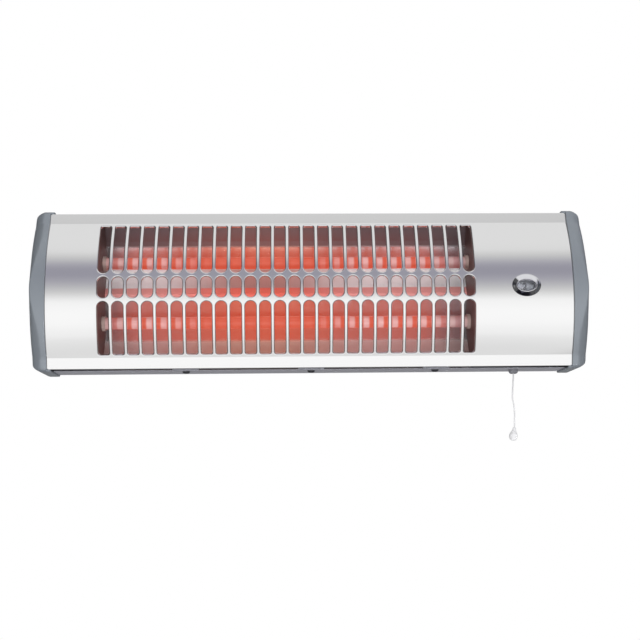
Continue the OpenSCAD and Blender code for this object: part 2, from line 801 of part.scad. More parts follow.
// The coil's outer shape, a ribbed sleeve between the two end pins.
module heating_coil(z) {
  len = tube_right - tube_left - 4;
  n = floor(len / coil_pitch);
  r = coil_d / 2;
  at(tube_left + 2, tube_depth, z) rotate([0, 90, 0]) rotate_extrude($fn = 24)
    polygon(concat(
      [[0, 0], [r - 0.5, 0]],
      [for (i = [0:n - 1]) each [[r, (i + 0.5) * len / n], [r - 0.5, (i + 1) * len / n]]],
      [[0, len]]
    ));
}
module upper_heating_coil() {
  color("orangered") heating_coil(tube_z);
}
module lower_heating_coil() {
  color("orangered") heating_coil(-tube_z);
}
// Draws its children at the four tube ends, with +Z pointing out of each.
module tube_ends() {
  both_heights() {
    at(plate_right, tube_depth, tube_z) rotate([0, 90, 0]) children();
    at(plate_left, tube_depth, tube_z) rotate([0, -90, 0]) children();
  }
}
module ceramic_tube_ends() {
  color("white") tube_ends() difference() {
    union() {
      translate([0, 0, -3]) cylinder(d = ceramic_neck_d, h = 4);
      translate([0, 0, plate_t]) cylinder(d = ceramic_d, h = ceramic_out - plate_t);
    }
    translate([0, 0, -4]) cylinder(d = tube_d + 2 * seat_gap, h = tube_past_plate + 4);
    cylinder(d = pin_d + 2 * seat_gap, h = ceramic_out + 1);
  }
}
module tube_terminals() {
  color("goldenrod") tube_ends() {
    translate([0, 0, tube_past_plate - 2]) cylinder(d = pin_d, h = ceramic_end_t + pin_out + 2);
    translate([0, 0, ceramic_out]) cylinder(d = 5, h = pin_out);
    translate([-spade_w / 2, -spade_t / 2, ceramic_out + pin_out]) cube([spade_w, spade_t, spade_len]);
  }
}

// --- the switch --------------------------------------------------------------------

module switch_body() {
  w = switch_wall;
  color("dimgray") difference() {
    union() {
      along_y(casing_t, switch_depth) difference() {
        box2(switch_l, switch_r, switch_low, switch_top);
        box2(switch_l + w, switch_r - w, switch_low + w, switch_top - w);
      }
      along_y(switch_depth - w, switch_depth) box2(switch_l, switch_r, switch_low, switch_top);
      along_y(boss_depth, switch_depth) disc(rotor_x, switch_z, rotor_d + 5);
      along_y(casing_t, casing_t + foot_t) {
        box2(switch_x - foot_w / 2, switch_x + foot_w / 2, switch_top, switch_top + foot_h);
        box2(switch_x - foot_w / 2, switch_x + foot_w / 2, switch_low - foot_h, switch_low);
      }
    }
    along_y(boss_depth - 1, switch_depth + 1) disc(rotor_x, switch_z, rotor_d + 2 * run_gap);
    along_y(casing_t - 1, casing_t + foot_t + 1) {
      disc(switch_x, switch_top + foot_h / 2, screw_d + 2 * seat_gap);
      disc(switch_x, switch_low - foot_h / 2, screw_d + 2 * seat_gap);
    }
    // the way of the pull bar
    along_z(switch_low - 1, switch_low + w + 1)
      box2(
        bar_x - bar_w / 2 - slide_gap, bar_x + bar_w / 2 + slide_gap,
        cord_depth - bar_w / 2 - slide_gap, cord_depth + bar_w / 2 + slide_gap
      );
  }
}
module switch_screws() {
  color("silver") {
    screw_forward(switch_x, 0, switch_top + foot_h / 2, 6);
    screw_forward(switch_x, 0, switch_low - foot_h / 2, 6);
  }
}
module switch_tab_right(z) {
  along_x(switch_r, switch_r + 1) box2(switch_tab_depth - 5, switch_tab_depth + 5, z - 4, z + 4);
  along_x(switch_r + 1, switch_r + switch_tab)
    box2(switch_tab_depth - spade_w / 2, switch_tab_depth + spade_w / 2, z - spade_t / 2, z + spade_t / 2);
}
module switch_terminals() {
  d = switch_side_depth;
  color("goldenrod") {
    switch_tab_right(switch_z + 16);
    switch_tab_right(switch_z - 16);
    along_x(switch_l - 1, switch_l) box2(d - 4, d + 4, switch_z + 2, switch_z + 12);
    along_x(switch_l - switch_tab, switch_l - 1)
      box2(d - spade_t / 2, d + spade_t / 2, switch_z + 7 - spade_w / 2, switch_z + 7 + spade_w / 2);
  }
}
module switch_rotor() {
  n = ratchet_teeth;
  r = ratchet_d / 2;
  color("ivory") {
    along_y(wheel_depth, wheel_depth + wheel_t) translate([rotor_x, switch_z])
      polygon([
        for (i = [0:n - 1], q = [[2, r - 3], [216 / n, r - 1.4], [360 / n - 1, r]])
          let (a = 360 * i / n + q[0]) [q[1] * cos(a), q[1] * sin(a)]
      ]);
    along_y(wheel_depth + wheel_t, disc_depth) disc(rotor_x, switch_z, rotor_d);
  }
}
module indicator_disc() {
  color("white") along_y(disc_depth, disc_depth + disc_t) disc(rotor_x, switch_z, disc_d);
}
module pull_slide() {
  b = bar_w / 2;
  color("ivory") {
    along_z(bar_low, shoulder_z - shoulder_t) box2(bar_x - b, bar_x + b, cord_depth - b, cord_depth + b);
    along_z(shoulder_z - shoulder_t, shoulder_z) {
      box2(tip_x - 3, bar_x + spring_r, cord_depth - spring_r + 0.5, wheel_depth - 1.5);
      box2(tip_x - 3, tip_x, wheel_depth - 2, wheel_depth + wheel_t);
    }
  }
}
// The return spring's outer shape, a ribbed sleeve round the pull bar.
module return_spring() {
  len = spring_top - spring_low;
  n = 6;
  w = spring_wire;
  ri = spring_r - w;
  color("silver") at(bar_x, cord_depth, spring_low) rotate_extrude($fn = 32)
    polygon(concat(
      [[ri, 0], [ri + w * 0.6, 0]],
      [for (i = [0:n - 1]) each [[ri + w, (i + 0.5) * len / n], [ri + w * 0.6, (i + 1) * len / n]]],
      [[ri, len]]
    ));
}

// --- the pull ------------------------------------------------------------------

module pull_cord() {
  color("white") sweep(smooth([for (p = CORD) [p[0], -28 - p[1], p[2]]], 3), cord_d);
}
module pull_toggle() {
  r = toggle_d / 2;
  end = CORD[len(CORD) - 1];
  h = toggle_len;
  color("white") translate([end[0], -28 - end[1], end[2]]) rotate([0, toggle_lean, 0]) rotate_extrude()
    polygon([
      [0, 0], [r * 0.34, 0], [r * 0.42, -h * 0.1], [r * 0.46, -h * 0.22], [r * 0.62, -h * 0.32],
      [r * 0.84, -h * 0.42], [r * 0.96, -h * 0.54], [r, -h * 0.66], [r * 0.95, -h * 0.78],
      [r * 0.8, -h * 0.89], [r * 0.55, -h * 0.965], [r * 0.25, -h], [0, -h]
    ]);
}
module cord_guide() {
  g = guide_d / 2;
  b = guide_bore / 2;
  n = b + 1.2;
  color("dimgray") at(bar_x, cord_depth, -casing_half) rotate_extrude()
    polygon([
      [b, -guide_out], [g * 0.62, -guide_out], [g * 0.84, -guide_out * 0.82], [g * 0.97, -guide_out * 0.5],
      [g, 0], [n, 0], [n, casing_t], [n + 1.6, casing_t], [n + 1.6, casing_t + 1.6], [n, casing_t + 2.4],
      [b, casing_t + 2.4]
    ]);
}

// --- the sight window ------------------------------------------------------------

module window_bezel() {
  color("silver") difference() {
    union() {
      hull() {
        along_y(front_depth - 1, front_depth + bezel_out * 0.35) oval2(bezel_w, bezel_h);
        along_y(front_depth, front_depth + bezel_out * 0.8) oval2(bezel_w - 1.6, bezel_h - 1.6);
        along_y(front_depth, front_depth + bezel_out) oval2(bezel_w - 4, bezel_h - 4);
      }
      along_y(front_depth - 4.5, front_depth) oval2(lens_w + 4, lens_h + 4);
    }
    along_y(front_depth - 6, front_depth + 5) oval2(lens_w, lens_h);
    along_y(front_depth - 6, front_depth - 0.5) oval2(lens_w + 1.6, lens_h + 1.6);
    // the frame lies on the bowed cover, outside its collar
    difference() {
      along_x(window_x - bezel_w, window_x + bezel_w) bow(0);
      along_y(front_depth - 8, front_depth + 2) oval2(lens_w + 4, lens_h + 4);
    }
  }
}
module window_lens() {
  color("dimgray") along_y(front_depth - 2.5, front_depth - 0.5) oval2(lens_w + 1.6 - 2 * seat_gap, lens_h + 1.6 - 2 * seat_gap);
}

// --- the wiring ------------------------------------------------------------------

function pole_x(i) = block_x + (i - 1) * terminal_pitch;
pole_z = block_z - block_h / 2;
pole_depth = casing_t + 6;
module terminal_block() {
  color("ivory") difference() {
    along_y(casing_t, block_depth)
      box2(block_x - block_w / 2, block_x + block_w / 2, block_z - block_h / 2, block_z + block_h / 2);
    for (i = [0:2]) {
      along_y(block_depth - 3, block_depth + 1) {
        disc(pole_x(i), block_z - 3.5, 4);
        disc(pole_x(i), block_z + 3.5, 4);
      }
      along_z(block_z + block_h / 2 - 4, block_z + block_h / 2 + 1) disc(pole_x(i), pole_depth, 4);
    }
    for (s = [-1, 1]) along_y(casing_t - 1, casing_t + 5)
      disc(block_x + s * terminal_pitch / 2, block_z, screw_d + 2 * seat_gap);
  }
}
module terminal_screws() {
  color("goldenrod") {
    for (i = [0:2], s = [-1, 1])
      along_y(block_depth - 3, block_depth - 0.8) disc(pole_x(i), block_z + s * 3.5, 4 - 2 * seat_gap);
    for (s = [-1, 1]) screw_forward(block_x + s * terminal_pitch / 2, 0, block_z, 5);
  }
}
module thermal_cutout() {
  color("black") {
    difference() {
      along_y(casing_t, casing_t + 1)
        box2(cutout_x - 4, cutout_x + 4, -cutout_strap - 2, cutout_strap + 2);
      for (s = [-1, 1]) along_y(0, casing_t + 2) disc(cutout_x, s * (cutout_strap - 2), 3 + 2 * seat_gap);
    }
    along_y(casing_t, cutout_depth) disc(cutout_x, 0, cutout_d);
    for (s = [-1, 1]) along_y(cutout_depth, cutout_depth + 8)
      box2(cutout_x - spade_w / 2, cutout_x + spade_w / 2, s * 5 - spade_t / 2, s * 5 + spade_t / 2);
  }
}
module cutout_rivets() {
  color("silver") for (s = [-1, 1]) {
    z = s * (cutout_strap - 2);
    along_y(-1, 0) disc(cutout_x, z, 5);
    along_y(0, casing_t + 1) disc(cutout_x, z, 3);
    along_y(casing_t + 1, casing_t + 2) disc(cutout_x, z, 4.6);
  }
}
module supply_grommet() {
  r = inlet_d / 2;
  f = inlet_flange;
  color("black") at(block_x, 0, inlet_z) rotate([90, 0, 0]) rotate_extrude()
    polygon([
      [r, -f - 1], [r + 2.4, -f - 1], [r + 3.4, -f], [r + 3.4, 0], [r + 1.5, 0], [r + 1.5, casing_t],
      [r + 3, casing_t], [r + 2.6, casing_t + f], [r, casing_t + f]
    ]);
}
module earth_screw() {
  color("goldenrod") {
    at(earth_x, casing_t + spade_t, earth_z) rotate([-90, 0, 0]) screw(6);
    along_y(-3, 0) difference() {
      translate([earth_x, earth_z]) circle(d = 7, $fn = 6);
      disc(earth_x, earth_z, screw_d + 2 * seat_gap);
    }
  }
}
module earth_tag() {
  color("silver") {
    along_y(casing_t, casing_t + spade_t) difference() {
      union() {
        disc(earth_x, earth_z, 8);
        box2(earth_x - 1.6, earth_x + 1.6, earth_z - 8, earth_z);
      }
      disc(earth_x, earth_z, screw_d + 2 * seat_gap);
    }
    along_z(earth_z - 11, earth_z - 5) disc(earth_x, casing_t + 1.7, 3.2);
  }
}

// Each lead runs from one terminal's end to another's.
right_end = plate_right + spade_end;
left_end = plate_left - spade_end;
module live_lead() {
  x0 = pole_x(1) - 6;
  dx = cutout_x + 2 - x0;
  color("saddlebrown") lead([
    [pole_x(1), pole_depth, pole_z], [pole_x(1), 8, pole_z - 7], [pole_x(1) - 6, 10, pole_z - 14],
    [x0 + dx * 0.32, 11, switch_top + 9], [x0 + dx * 0.65, 12, switch_top + 5], [x0 + dx * 0.87, 16, switch_top + 2],
    [cutout_x + 2, 25, 13],
    [cutout_x, cutout_depth + 16, 8], [cutout_x, cutout_depth + 12, 5], [cutout_x, cutout_depth + 8, 5]
  ]);
}
module cutout_lead() {
  e = switch_l - switch_tab;
  color("firebrick") lead([
    [cutout_x, cutout_depth + 8, -5], [cutout_x, cutout_depth + 11, -5], [cutout_x - 3, cutout_depth + 18, -5],
    [e - 8, switch_side_depth - 3, switch_z + 7], [e - 5, switch_side_depth, switch_z + 7],
    [e - 2, switch_side_depth, switch_z + 7], [e, switch_side_depth, switch_z + 7]
  ]);
}
module upper_tube_lead() {
  e = switch_r + switch_tab;
  color("orange") lead([
    [right_end, tube_depth, tube_z], [right_end + 4, tube_depth, tube_z], [switch_x - 14, tube_depth, tube_z],
    [switch_x + 11, tube_depth, tube_z - 1], [e + 3, 26, 22], [e + 9, 22, 12],
    [e + 7, switch_tab_depth, switch_z + 17], [e + 3, switch_tab_depth, switch_z + 16],
    [e, switch_tab_depth, switch_z + 16]
  ]);
}
module lower_tube_lead() {
  e = switch_r + switch_tab;
  color("orange") lead([
    [right_end, tube_depth, -tube_z], [right_end + 2, tube_depth, -tube_z], [right_end + 4, tube_depth, -tube_z - 4],
    [switch_l - 2, 30, switch_low - 3], [switch_l + 8, 32, switch_low - 8], [switch_x + 10, 31, switch_low - 10],
    [e + 3, 27, switch_low - 7], [e + 9, 23, switch_z - 24], [e + 7, switch_tab_depth, switch_z - 17],
    [e + 3, switch_tab_depth, switch_z - 16], [e, switch_tab_depth, switch_z - 16]
  ]);
}
module neutral_lead() {
  z = back_lead_z - 12;
  x0 = pole_x(0) - 4;
  d = back_lead_depth + casing_t;
  color("steelblue") lead([
    [pole_x(0), pole_depth, pole_z], [pole_x(0), pole_depth, pole_z - 3], [pole_x(0) - 4, d, z + 3],
    [x0 + (plate_right + 10 - x0) * 0.46, d, z], [plate_right + 10, d, z], [plate_right, d, z], [0, d, z], [plate_left, d, z],
    [plate_left - 14, d + 1, z + 1], [left_end - 5, d + 8, tube_z + 3], [left_end - 9, tube_depth - 6, tube_z + 3],
    [left_end - 6, tube_depth, tube_z + 1.8], [left_end - 2, tube_depth, tube_z + 1.8],
    [left_end, tube_depth, tube_z + 1.8]
  ]);
}
module tube_link_lead() {
  x = left_end;
  color("steelblue") lead([
    [x, tube_depth, tube_z - 1.8], [x - 2, tube_depth, tube_z - 1.8], [x - 7, tube_depth, tube_z - 5],
    [x - 9, tube_depth, tube_z - 14], [x - 9, tube_depth, 14 - tube_z], [x - 7, tube_depth, 5 - tube_z],
    [x - 2, tube_depth, -tube_z], [x, tube_depth, -tube_z]
  ]);
}
module earth_lead() {
  color("yellowgreen") lead([
    [pole_x(2), pole_depth, pole_z], [pole_x(2), pole_depth, pole_z - 4], [pole_x(2) + 3, pole_depth, pole_z - 11],
    [earth_x - 3, 4.5, pole_z - 10], [earth_x, casing_t + 1.7, earth_z - 15], [earth_x, casing_t + 1.7, earth_z - 11]
  ]);
}

wall_bracket();
pivot_screws();
pivot_nuts();
tilt_washers();
hinge_ears();
ear_rivets();
back_casing();
front_cover();
left_end_cap();
right_end_cap();
cap_screws();
cover_screws();
reflector();
left_end_plate();
right_end_plate();
plate_screws();
upper_quartz_tube();
lower_quartz_tube();
upper_heating_coil();
lower_heating_coil();
ceramic_tube_ends();
tube_terminals();
switch_body();
switch_screws();
switch_terminals();
switch_rotor();
indicator_disc();
pull_slide();
return_spring();
pull_cord();
pull_toggle();
cord_guide();
window_bezel();
window_lens();
terminal_block();
terminal_screws();
thermal_cutout();
cutout_rivets();
supply_grommet();
earth_screw();
earth_tag();
live_lead();
cutout_lead();
upper_tube_lead();
lower_tube_lead();
neutral_lead();
tube_link_lead();
earth_lead();
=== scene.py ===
import json
import math

import bmesh
import bpy
import numpy as np
from mathutils import Matrix, Vector


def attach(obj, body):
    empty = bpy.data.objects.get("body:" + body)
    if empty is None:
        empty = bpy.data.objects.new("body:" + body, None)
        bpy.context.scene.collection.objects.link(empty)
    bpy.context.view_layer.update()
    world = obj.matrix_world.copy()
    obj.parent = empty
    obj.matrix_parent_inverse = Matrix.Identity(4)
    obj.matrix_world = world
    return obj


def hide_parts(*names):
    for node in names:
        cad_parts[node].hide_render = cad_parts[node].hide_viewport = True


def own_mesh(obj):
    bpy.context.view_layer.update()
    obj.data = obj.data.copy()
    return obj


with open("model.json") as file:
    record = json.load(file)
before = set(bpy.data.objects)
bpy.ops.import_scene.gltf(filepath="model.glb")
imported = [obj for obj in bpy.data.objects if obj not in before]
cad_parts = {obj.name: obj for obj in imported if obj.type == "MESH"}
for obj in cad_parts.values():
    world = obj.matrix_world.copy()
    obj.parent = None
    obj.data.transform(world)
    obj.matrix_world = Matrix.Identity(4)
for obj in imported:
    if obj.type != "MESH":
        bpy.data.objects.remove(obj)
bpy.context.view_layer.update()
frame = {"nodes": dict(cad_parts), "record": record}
nodes = frame["nodes"]
mm = 0.001
standOff = 28.0  # the casing's back face stands this far off the wall, in mm

# where the camera stands in metres, how it is turned in degrees, and its lens in mm on a 36 mm sensor
camera = {"place": (-0.0286, -1.0714, -0.1847), "yaw": 2.096, "pitch": 8.895, "roll": -0.68, "lens": 62.46}


def newObject(name, data):
    item = bpy.data.objects.new(name, data)
    bpy.context.scene.collection.objects.link(item)
    return item


# Yaw turns the view from +Y towards +X, pitch lifts it, and roll turns it about itself.
def makeCamera():
    yaw, pitch, roll = (math.radians(camera[k]) for k in ("yaw", "pitch", "roll"))
    ahead = Vector((math.sin(yaw) * math.cos(pitch), math.cos(yaw) * math.cos(pitch), math.sin(pitch)))
    level = Vector((math.cos(yaw), -math.sin(yaw), 0))
    upright = level.cross(ahead)
    right = math.cos(roll) * level + math.sin(roll) * upright
    up = -math.sin(roll) * level + math.cos(roll) * upright
    data = bpy.data.cameras.new("camera")
    data.lens, data.sensor_width, data.clip_start = camera["lens"], 36, 0.01
    holder = newObject("camera", data)
    turn = Matrix((right, up, -ahead)).transposed().to_4x4()
    holder.matrix_world = Matrix.Translation(camera["place"]) @ turn
    bpy.context.scene.camera = holder


makeCamera()
print("camera placed")


# All shapes are arrays in mm until they become a mesh. Here points at one place become one, and a face that
# loses a corner keeps the rest.
def weld(points, faces):
    _, first, back = np.unique(np.round(points, 4), axis=0, return_index=True, return_inverse=True)
    kept = [list(dict.fromkeys(f)) for f in back.reshape(-1)[faces].tolist()]
    return first, [f for f in kept if len(f) > 2]


# Quads between neighbouring rows and columns; ring joins the last column to the first.
def gridFaces(rows, cols, ring=False):
    i = np.arange(rows - 1)[:, None]
    j = np.arange(cols if ring else cols - 1)[None, :]
    k = (j + 1) % cols
    return np.stack([i * cols + j, i * cols + k, (i + 1) * cols + k, (i + 1) * cols + j], -1).reshape(-1, 4)


# A grid of points, rows by columns, as its points and quads.
def gridPatch(grid, ring=False):
    return grid.reshape(-1, 3), gridFaces(grid.shape[0], grid.shape[1], ring)


# Several point and quad pairs as one.
def joined(patches):
    starts = np.cumsum([0] + [len(p) for p, _ in patches[:-1]])
    return np.vstack([p for p, _ in patches]), np.vstack([f + s for (_, f), s in zip(patches, starts)])


# The patch as a piece in its slot's finish. With normals each quad is wound the way they point; without them
# a closed shell is turned outwards, and its edges are sharp past an angle.
def addPiece(name, patch, slot, stands=(), body="heater", finish=None, normals=None, levels=0, sharp=40):
    points, faces = patch
    if normals is not None:
        p = points[faces]
        across = np.cross(p[:, 2] - p[:, 0], p[:, 3] - p[:, 1])
        wrong = (across * normals[faces].sum(1)).sum(1) < 0
        faces = np.where(wrong[:, None], faces[:, ::-1], faces)
    first, polygons = weld(points, faces)
    mesh = bpy.data.meshes.new(name)
    mesh.from_pydata((points[first] * mm).tolist(), [], polygons)
    if normals is None:
        work = bmesh.new()
        work.from_mesh(mesh)
        bmesh.ops.recalc_face_normals(work, faces=work.faces)
        work.to_mesh(mesh)
        work.free()
    mesh.polygons.foreach_set("use_smooth", [True] * len(mesh.polygons))
    if normals is None:
        mesh.set_sharp_from_angle(angle=math.radians(sharp))
    else:
        unit = normals[first] / np.linalg.norm(normals[first], axis=1)[:, None]
        mesh.normals_split_custom_set_from_vertices(unit.tolist())
    mesh.materials.append(finish or finishes[slot])
    piece = newObject(name, mesh)
    if levels:
        rounder = piece.modifiers.new("rounder", "SUBSURF")
        rounder.levels = rounder.render_levels = levels
    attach(piece, body)
    if stands:
        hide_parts(*stands)
    return piece


def unitRows(v):
    return v / np.linalg.norm(v, axis=-1, keepdims=True)


# Two ways square to an axis and to each other, and the axis itself, each of length one.
def squareTo(axis, aside):
    w = unitRows(np.array(axis, float))
    u = unitRows(np.cross(w, aside))
    return u, np.cross(w, u), w


# A radius and a distance along the axis, carried right round it.
def lathe(profile, place, axis, steps=48):
    profile = np.array(profile, float)
    u, v, w = squareTo(axis, (0.31, 0.52, 0.79))
    turn = np.linspace(0, 2 * np.pi, steps, endpoint=False)[None, :, None]
    r, h = profile[:, 0][:, None, None], profile[:, 1][:, None, None]
    return gridPatch(np.array(place) + r * (np.cos(turn) * u + np.sin(turn) * v) + h * w, ring=True)


# A circle carried along a path, closed at both ends.
def tubeAlong(path, radius, sides, reference):
    t = unitRows(np.gradient(path, axis=0))
    a = unitRows(np.cross(t, reference))[:, None]
    b = np.cross(t[:, None], a)
    turn = np.linspace(0, 2 * np.pi, sides, endpoint=False)[None, :, None]
    rings = path[:, None] + radius * (np.cos(turn) * a + np.sin(turn) * b)
    first, last = (np.repeat(path[None, [k]], sides, axis=1) for k in (0, -1))
    return gridPatch(np.concatenate([first, rings, last]), ring=True)


# Places, one or a whole array, by their x, their depth ahead of the casing's back, and their height.
def at(x, depth, z):
    x, depth, z = np.broadcast_arrays(x, depth, z)
    return np.stack([x, -standOff - depth, z], -1).astype(float)


# A patch turned over along one axis, with its quads wound back.
def mirrored(patch, axis):
    points, faces = patch
    flip = np.ones(3)
    flip[axis] = -1
    return points * flip, faces[:, ::-1]


# sRGB to linear light: below a toe a straight line, above it a power of 2.4.
def linear(code):
    value = np.array([int(code[i:i + 2], 16) for i in (0, 2, 4)]) / 255
    lit = np.where(value <= 0.04045, value / 12.92, ((value + 0.055) / 1.055) ** 2.4)
    return (*lit.tolist(), 1.0)


# Inputs are told by name, or in their order, and each takes a value, a socket, or a node's first socket.
def feed(tree, node, inputs):
    for key, value in inputs.items() if isinstance(inputs, dict) else enumerate(inputs):
        if isinstance(value, bpy.types.Node):
            value = value.outputs[0]
        if isinstance(value, bpy.types.NodeSocket):
            tree.links.new(value, node.inputs[key])
        else:
            node.inputs[key].default_value = value


# One shader node with its settings and inputs, and for a ramp the places and colours of its stops.
def addNode(tree, kind, inputs=None, stops=(), **settings):
    node = tree.nodes.new("ShaderNode" + kind)
    for key, value in settings.items():
        setattr(node, key, value)
    if stops:
        elements = node.color_ramp.elements
        while len(elements) < len(stops):
            elements.new(0.5)
        for element, (place, colour) in zip(elements, stops):
            element.position, element.color = place, colour
    feed(tree, node, inputs or {})
    return node


# for a map range, whose inputs are the value, the ends of its old range, and those of its new one
smooth = {"interpolation_type": "SMOOTHSTEP"}


# A finish with a real grain, given by its size and height in mm and the shares by which it moves the tone and
# the roughness. A stretch under 1 draws the grain out along that axis.
def newFinish(name, code, rough, metal, grain, stretch=(1, 1, 1), more=None):
    material = bpy.data.materials.new(name)
    material.use_nodes = True
    tree = material.node_tree
    shader = tree.nodes["Principled BSDF"]
    feed(tree, shader, {"Base Color": linear(code), "Metallic": metal, "Roughness": rough, **(more or {})})
    size, height, tone, swing = grain
    where = addNode(tree, "TexCoord").outputs["Object"]
    place = addNode(tree, "Mapping", {"Vector": where, "Scale": stretch})
    noise = addNode(tree, "TexNoise", {"Vector": place, "Scale": 1000 / size, "Detail": 3.0}).outputs["Fac"]
    if height:
        bump = addNode(tree, "Bump", {"Height": noise, "Strength": 0.6, "Distance": height * mm})
        feed(tree, shader, {"Normal": bump})
    if tone:
        base = np.array(linear(code))[:3]
        blend = addNode(tree, "Mix", {0: noise, 6: (*(base * (1 - tone)), 1),
                                      7: (*np.minimum(base * (1 + tone), 1), 1)}, data_type="RGBA")
        feed(tree, shader, {"Base Color": blend.outputs[2]})
    if swing:
        spread = addNode(tree, "MapRange", [noise, 0, 1, rough * (1 - swing), rough * (1 + swing)])
        feed(tree, shader, {"Roughness": spread})
    return material


# by slot: the finish's name, colour, roughness, metal and grain, and what else it has
finishes = {slot: newFinish(*row) for slot, row in {
    # polished 430 stainless: rolled, then buffed along its length, so a soft mirror with a faint long haze
    "cover_steel": ("polished stainless steel", "E9E9E9", 0.10, 1.0, (1.6, 0.0012, 0.0, 0.22), (0.03, 1, 1)),
    # moulded ABS under a sprayed blue-grey lacquer with metal flake: satin, paler where it faces the light
    "cap_plastic": ("satin blue-grey lacquer on abs", "82888F", 0.30, 0.35, (0.45, 0.012, 0.03, 0.10)),
    # baked polyester paint on mild steel: a slight orange peel under a satin sheen
    "casing_paint": ("satin grey baked paint", "93939B", 0.40, 0.0, (1.4, 0.03, 0.02, 0.12)),
    # the reflector's sheet cut for its ends, and dulled brown by heat
    "plate_steel": ("heat-dulled steel", "7A6664", 0.5, 0.8, (9.0, 0.02, 0.2, 0.2)),
    # zinc-plated mild steel: pale, faintly mottled crystals under a clear passivate
    "bracket_steel": ("zinc-plated steel sheet", "BDBFC2", 0.36, 1.0, (6.0, 0.01, 0.10, 0.18)),
    "zinc": ("bright zinc-plated screw steel", "CDCED1", 0.24, 1.0, (0.8, 0.004, 0.06, 0.2)),
    # drawn brass: warm, with fine streaks along the part
    "brass": ("plain brass", "C6A25A", 0.28, 1.0, (0.9, 0.004, 0.07, 0.2)),
    # steatite: dry-pressed and fired unglazed, chalky with tiny pits
    "ceramic": ("unglazed steatite", "B09892", 0.7, 0.0, (0.5, 0.04, 0.04, 0.05)),
    # plastics of the switch works: dull where they are filled or moulded rough, glossier where they slide
    "switch_plastic": ("light grey glass-filled nylon", "D2D3D6", 0.5, 0.0, (0.4, 0.02, 0.12, 0.10)),
    "rotor_plastic": ("ivory acetal", "E4DFCD", 0.38, 0.0, (0.7, 0.008, 0.02, 0.08)),
    "disc_plastic": ("white printed disc", "ECECEA", 0.34, 0.0, (0.9, 0.004, 0.01, 0.08)),
    "block_plastic": ("ivory terminal nylon", "E2DBC3", 0.45, 0.0, (0.5, 0.012, 0.03, 0.08)),
    "cutout_black": ("black phenolic", "17171A", 0.38, 0.0, (0.5, 0.012, 0.2, 0.10)),
    "washer_plastic": ("natural nylon", "DFDDD2", 0.4, 0.0, (0.6, 0.006, 0.02, 0.08)),
    "grommet_rubber": ("black rubber", "1B1B1C", 0.62, 0.0, (0.35, 0.02, 0.15, 0.05)),
    "guide_plastic": ("dark grey moulded nylon", "737379", 0.42, 0.0, (0.4, 0.012, 0.04, 0.10)),
    # polypropylene from a smooth mould: even and nearly matt
    "toggle_plastic": ("white moulded plastic", "DADADC", 0.6, 0.0, (2.5, 0.0, 0.012, 0.10)),
    "spring_steel": ("plain spring steel", "9A9CA0", 0.3, 1.0, (0.7, 0.003, 0.08, 0.15)),
    # chrome plate over plastic: a full mirror, only a trace of haze
    "bezel_chrome": ("chrome plate", "E4E4E8", 0.06, 1.0, (3.0, 0.0006, 0.0, 0.3)),
    # smoke-tinted acrylic: grey by its own body, glossy outside
    "lens_smoke": ("smoke-tinted acrylic", "DEE1E9", 0.06, 0.0, (5.0, 0.0008, 0.0, 0.3), (1, 1, 1),
                   {"IOR": 1.49, "Transmission Weight": 0.92}),
    # iron-chromium-aluminium wire at orange heat
    "glowing_wire": ("resistance wire at orange heat", "6B4A3C", 0.5, 0.6, (1.0, 0.004, 0.1, 0.1), (1, 1, 1),
                     {"Emission Color": linear("FF6A2A"), "Emission Strength": 1.6}),
}.items()}
# silicone sleeve over glass braid: dull, with a woven print
for colour, code in (("brown", "55321F"), ("red", "8E2A20"), ("orange", "C4702F"), ("blue", "2F5596"),
                     ("green and yellow", "8FA63A")):
    finishes["lead_" + colour.split()[0]] = newFinish(colour + " silicone sleeve", code, 0.55, 0.0,
                                                      (0.6, 0.03, 0.08, 0.05))
# steel under a black passivate, for the screws that show, and screen ink for the digits
screwBlack = newFinish("black-passivated screw steel", "55555A", 0.5, 0.8, (0.8, 0.004, 0.06, 0.2))
digitInk = newFinish("black printing ink", "16161C", 0.45, 0.0, (0.3, 0.004, 0.1, 0.08))

# light and glow painted on the reflector, in mm: half the height they span, the hottest place of its length,
# and how far on each side of it the fading of the painted glow starts and ends
paintedLightMap = {
    "span": 60, "hottest": -47, "near": 10, "far": 112,
    # from the lower wing to the upper one: height, colour at its ends, colour at its middle, roughness, metal
    "stretches": [
        # the lowest stretch, pale: painted light falling on it
        (-60, "E0D6D4", "E0D2C4", 0.45, 0.6), (-45, "E0D6D4", "E0D2C4", 0.45, 0.6),
        # the lower trough's mirror, warmer towards the middle: painted glow of the tubes
        (-40, "E4ECF0", "FAE0CC", 0.07, 0.86), (-5.5, "E4ECF0", "FAE0CC", 0.07, 0.86),
        # a rose ridge: painted glow of the tubes
        (-4.5, "F1AAA6", "FC7E6D", 0.5, 0.0), (6.9, "F1AAA6", "FC7E6D", 0.5, 0.0),
        # a white matt flank under the upper tube: a painted reflection of the bright room, pinkish towards
        # the middle with painted glow
        (7.6, "F6FCFF", "C99C96", 0.5, 0.0), (25, "F6FCFF", "C99C96", 0.5, 0.0),
        # the upper trough's mirror, warmer towards the middle: painted glow of the tubes
        (28, "E4ECF0", "FAE0CC", 0.07, 0.86), (46, "E4ECF0", "FAE0CC", 0.07, 0.86),
        # the top stretch, darker brown-grey
        (48, "8C8083", "A69090", 0.5, 0.9),
    ],
}
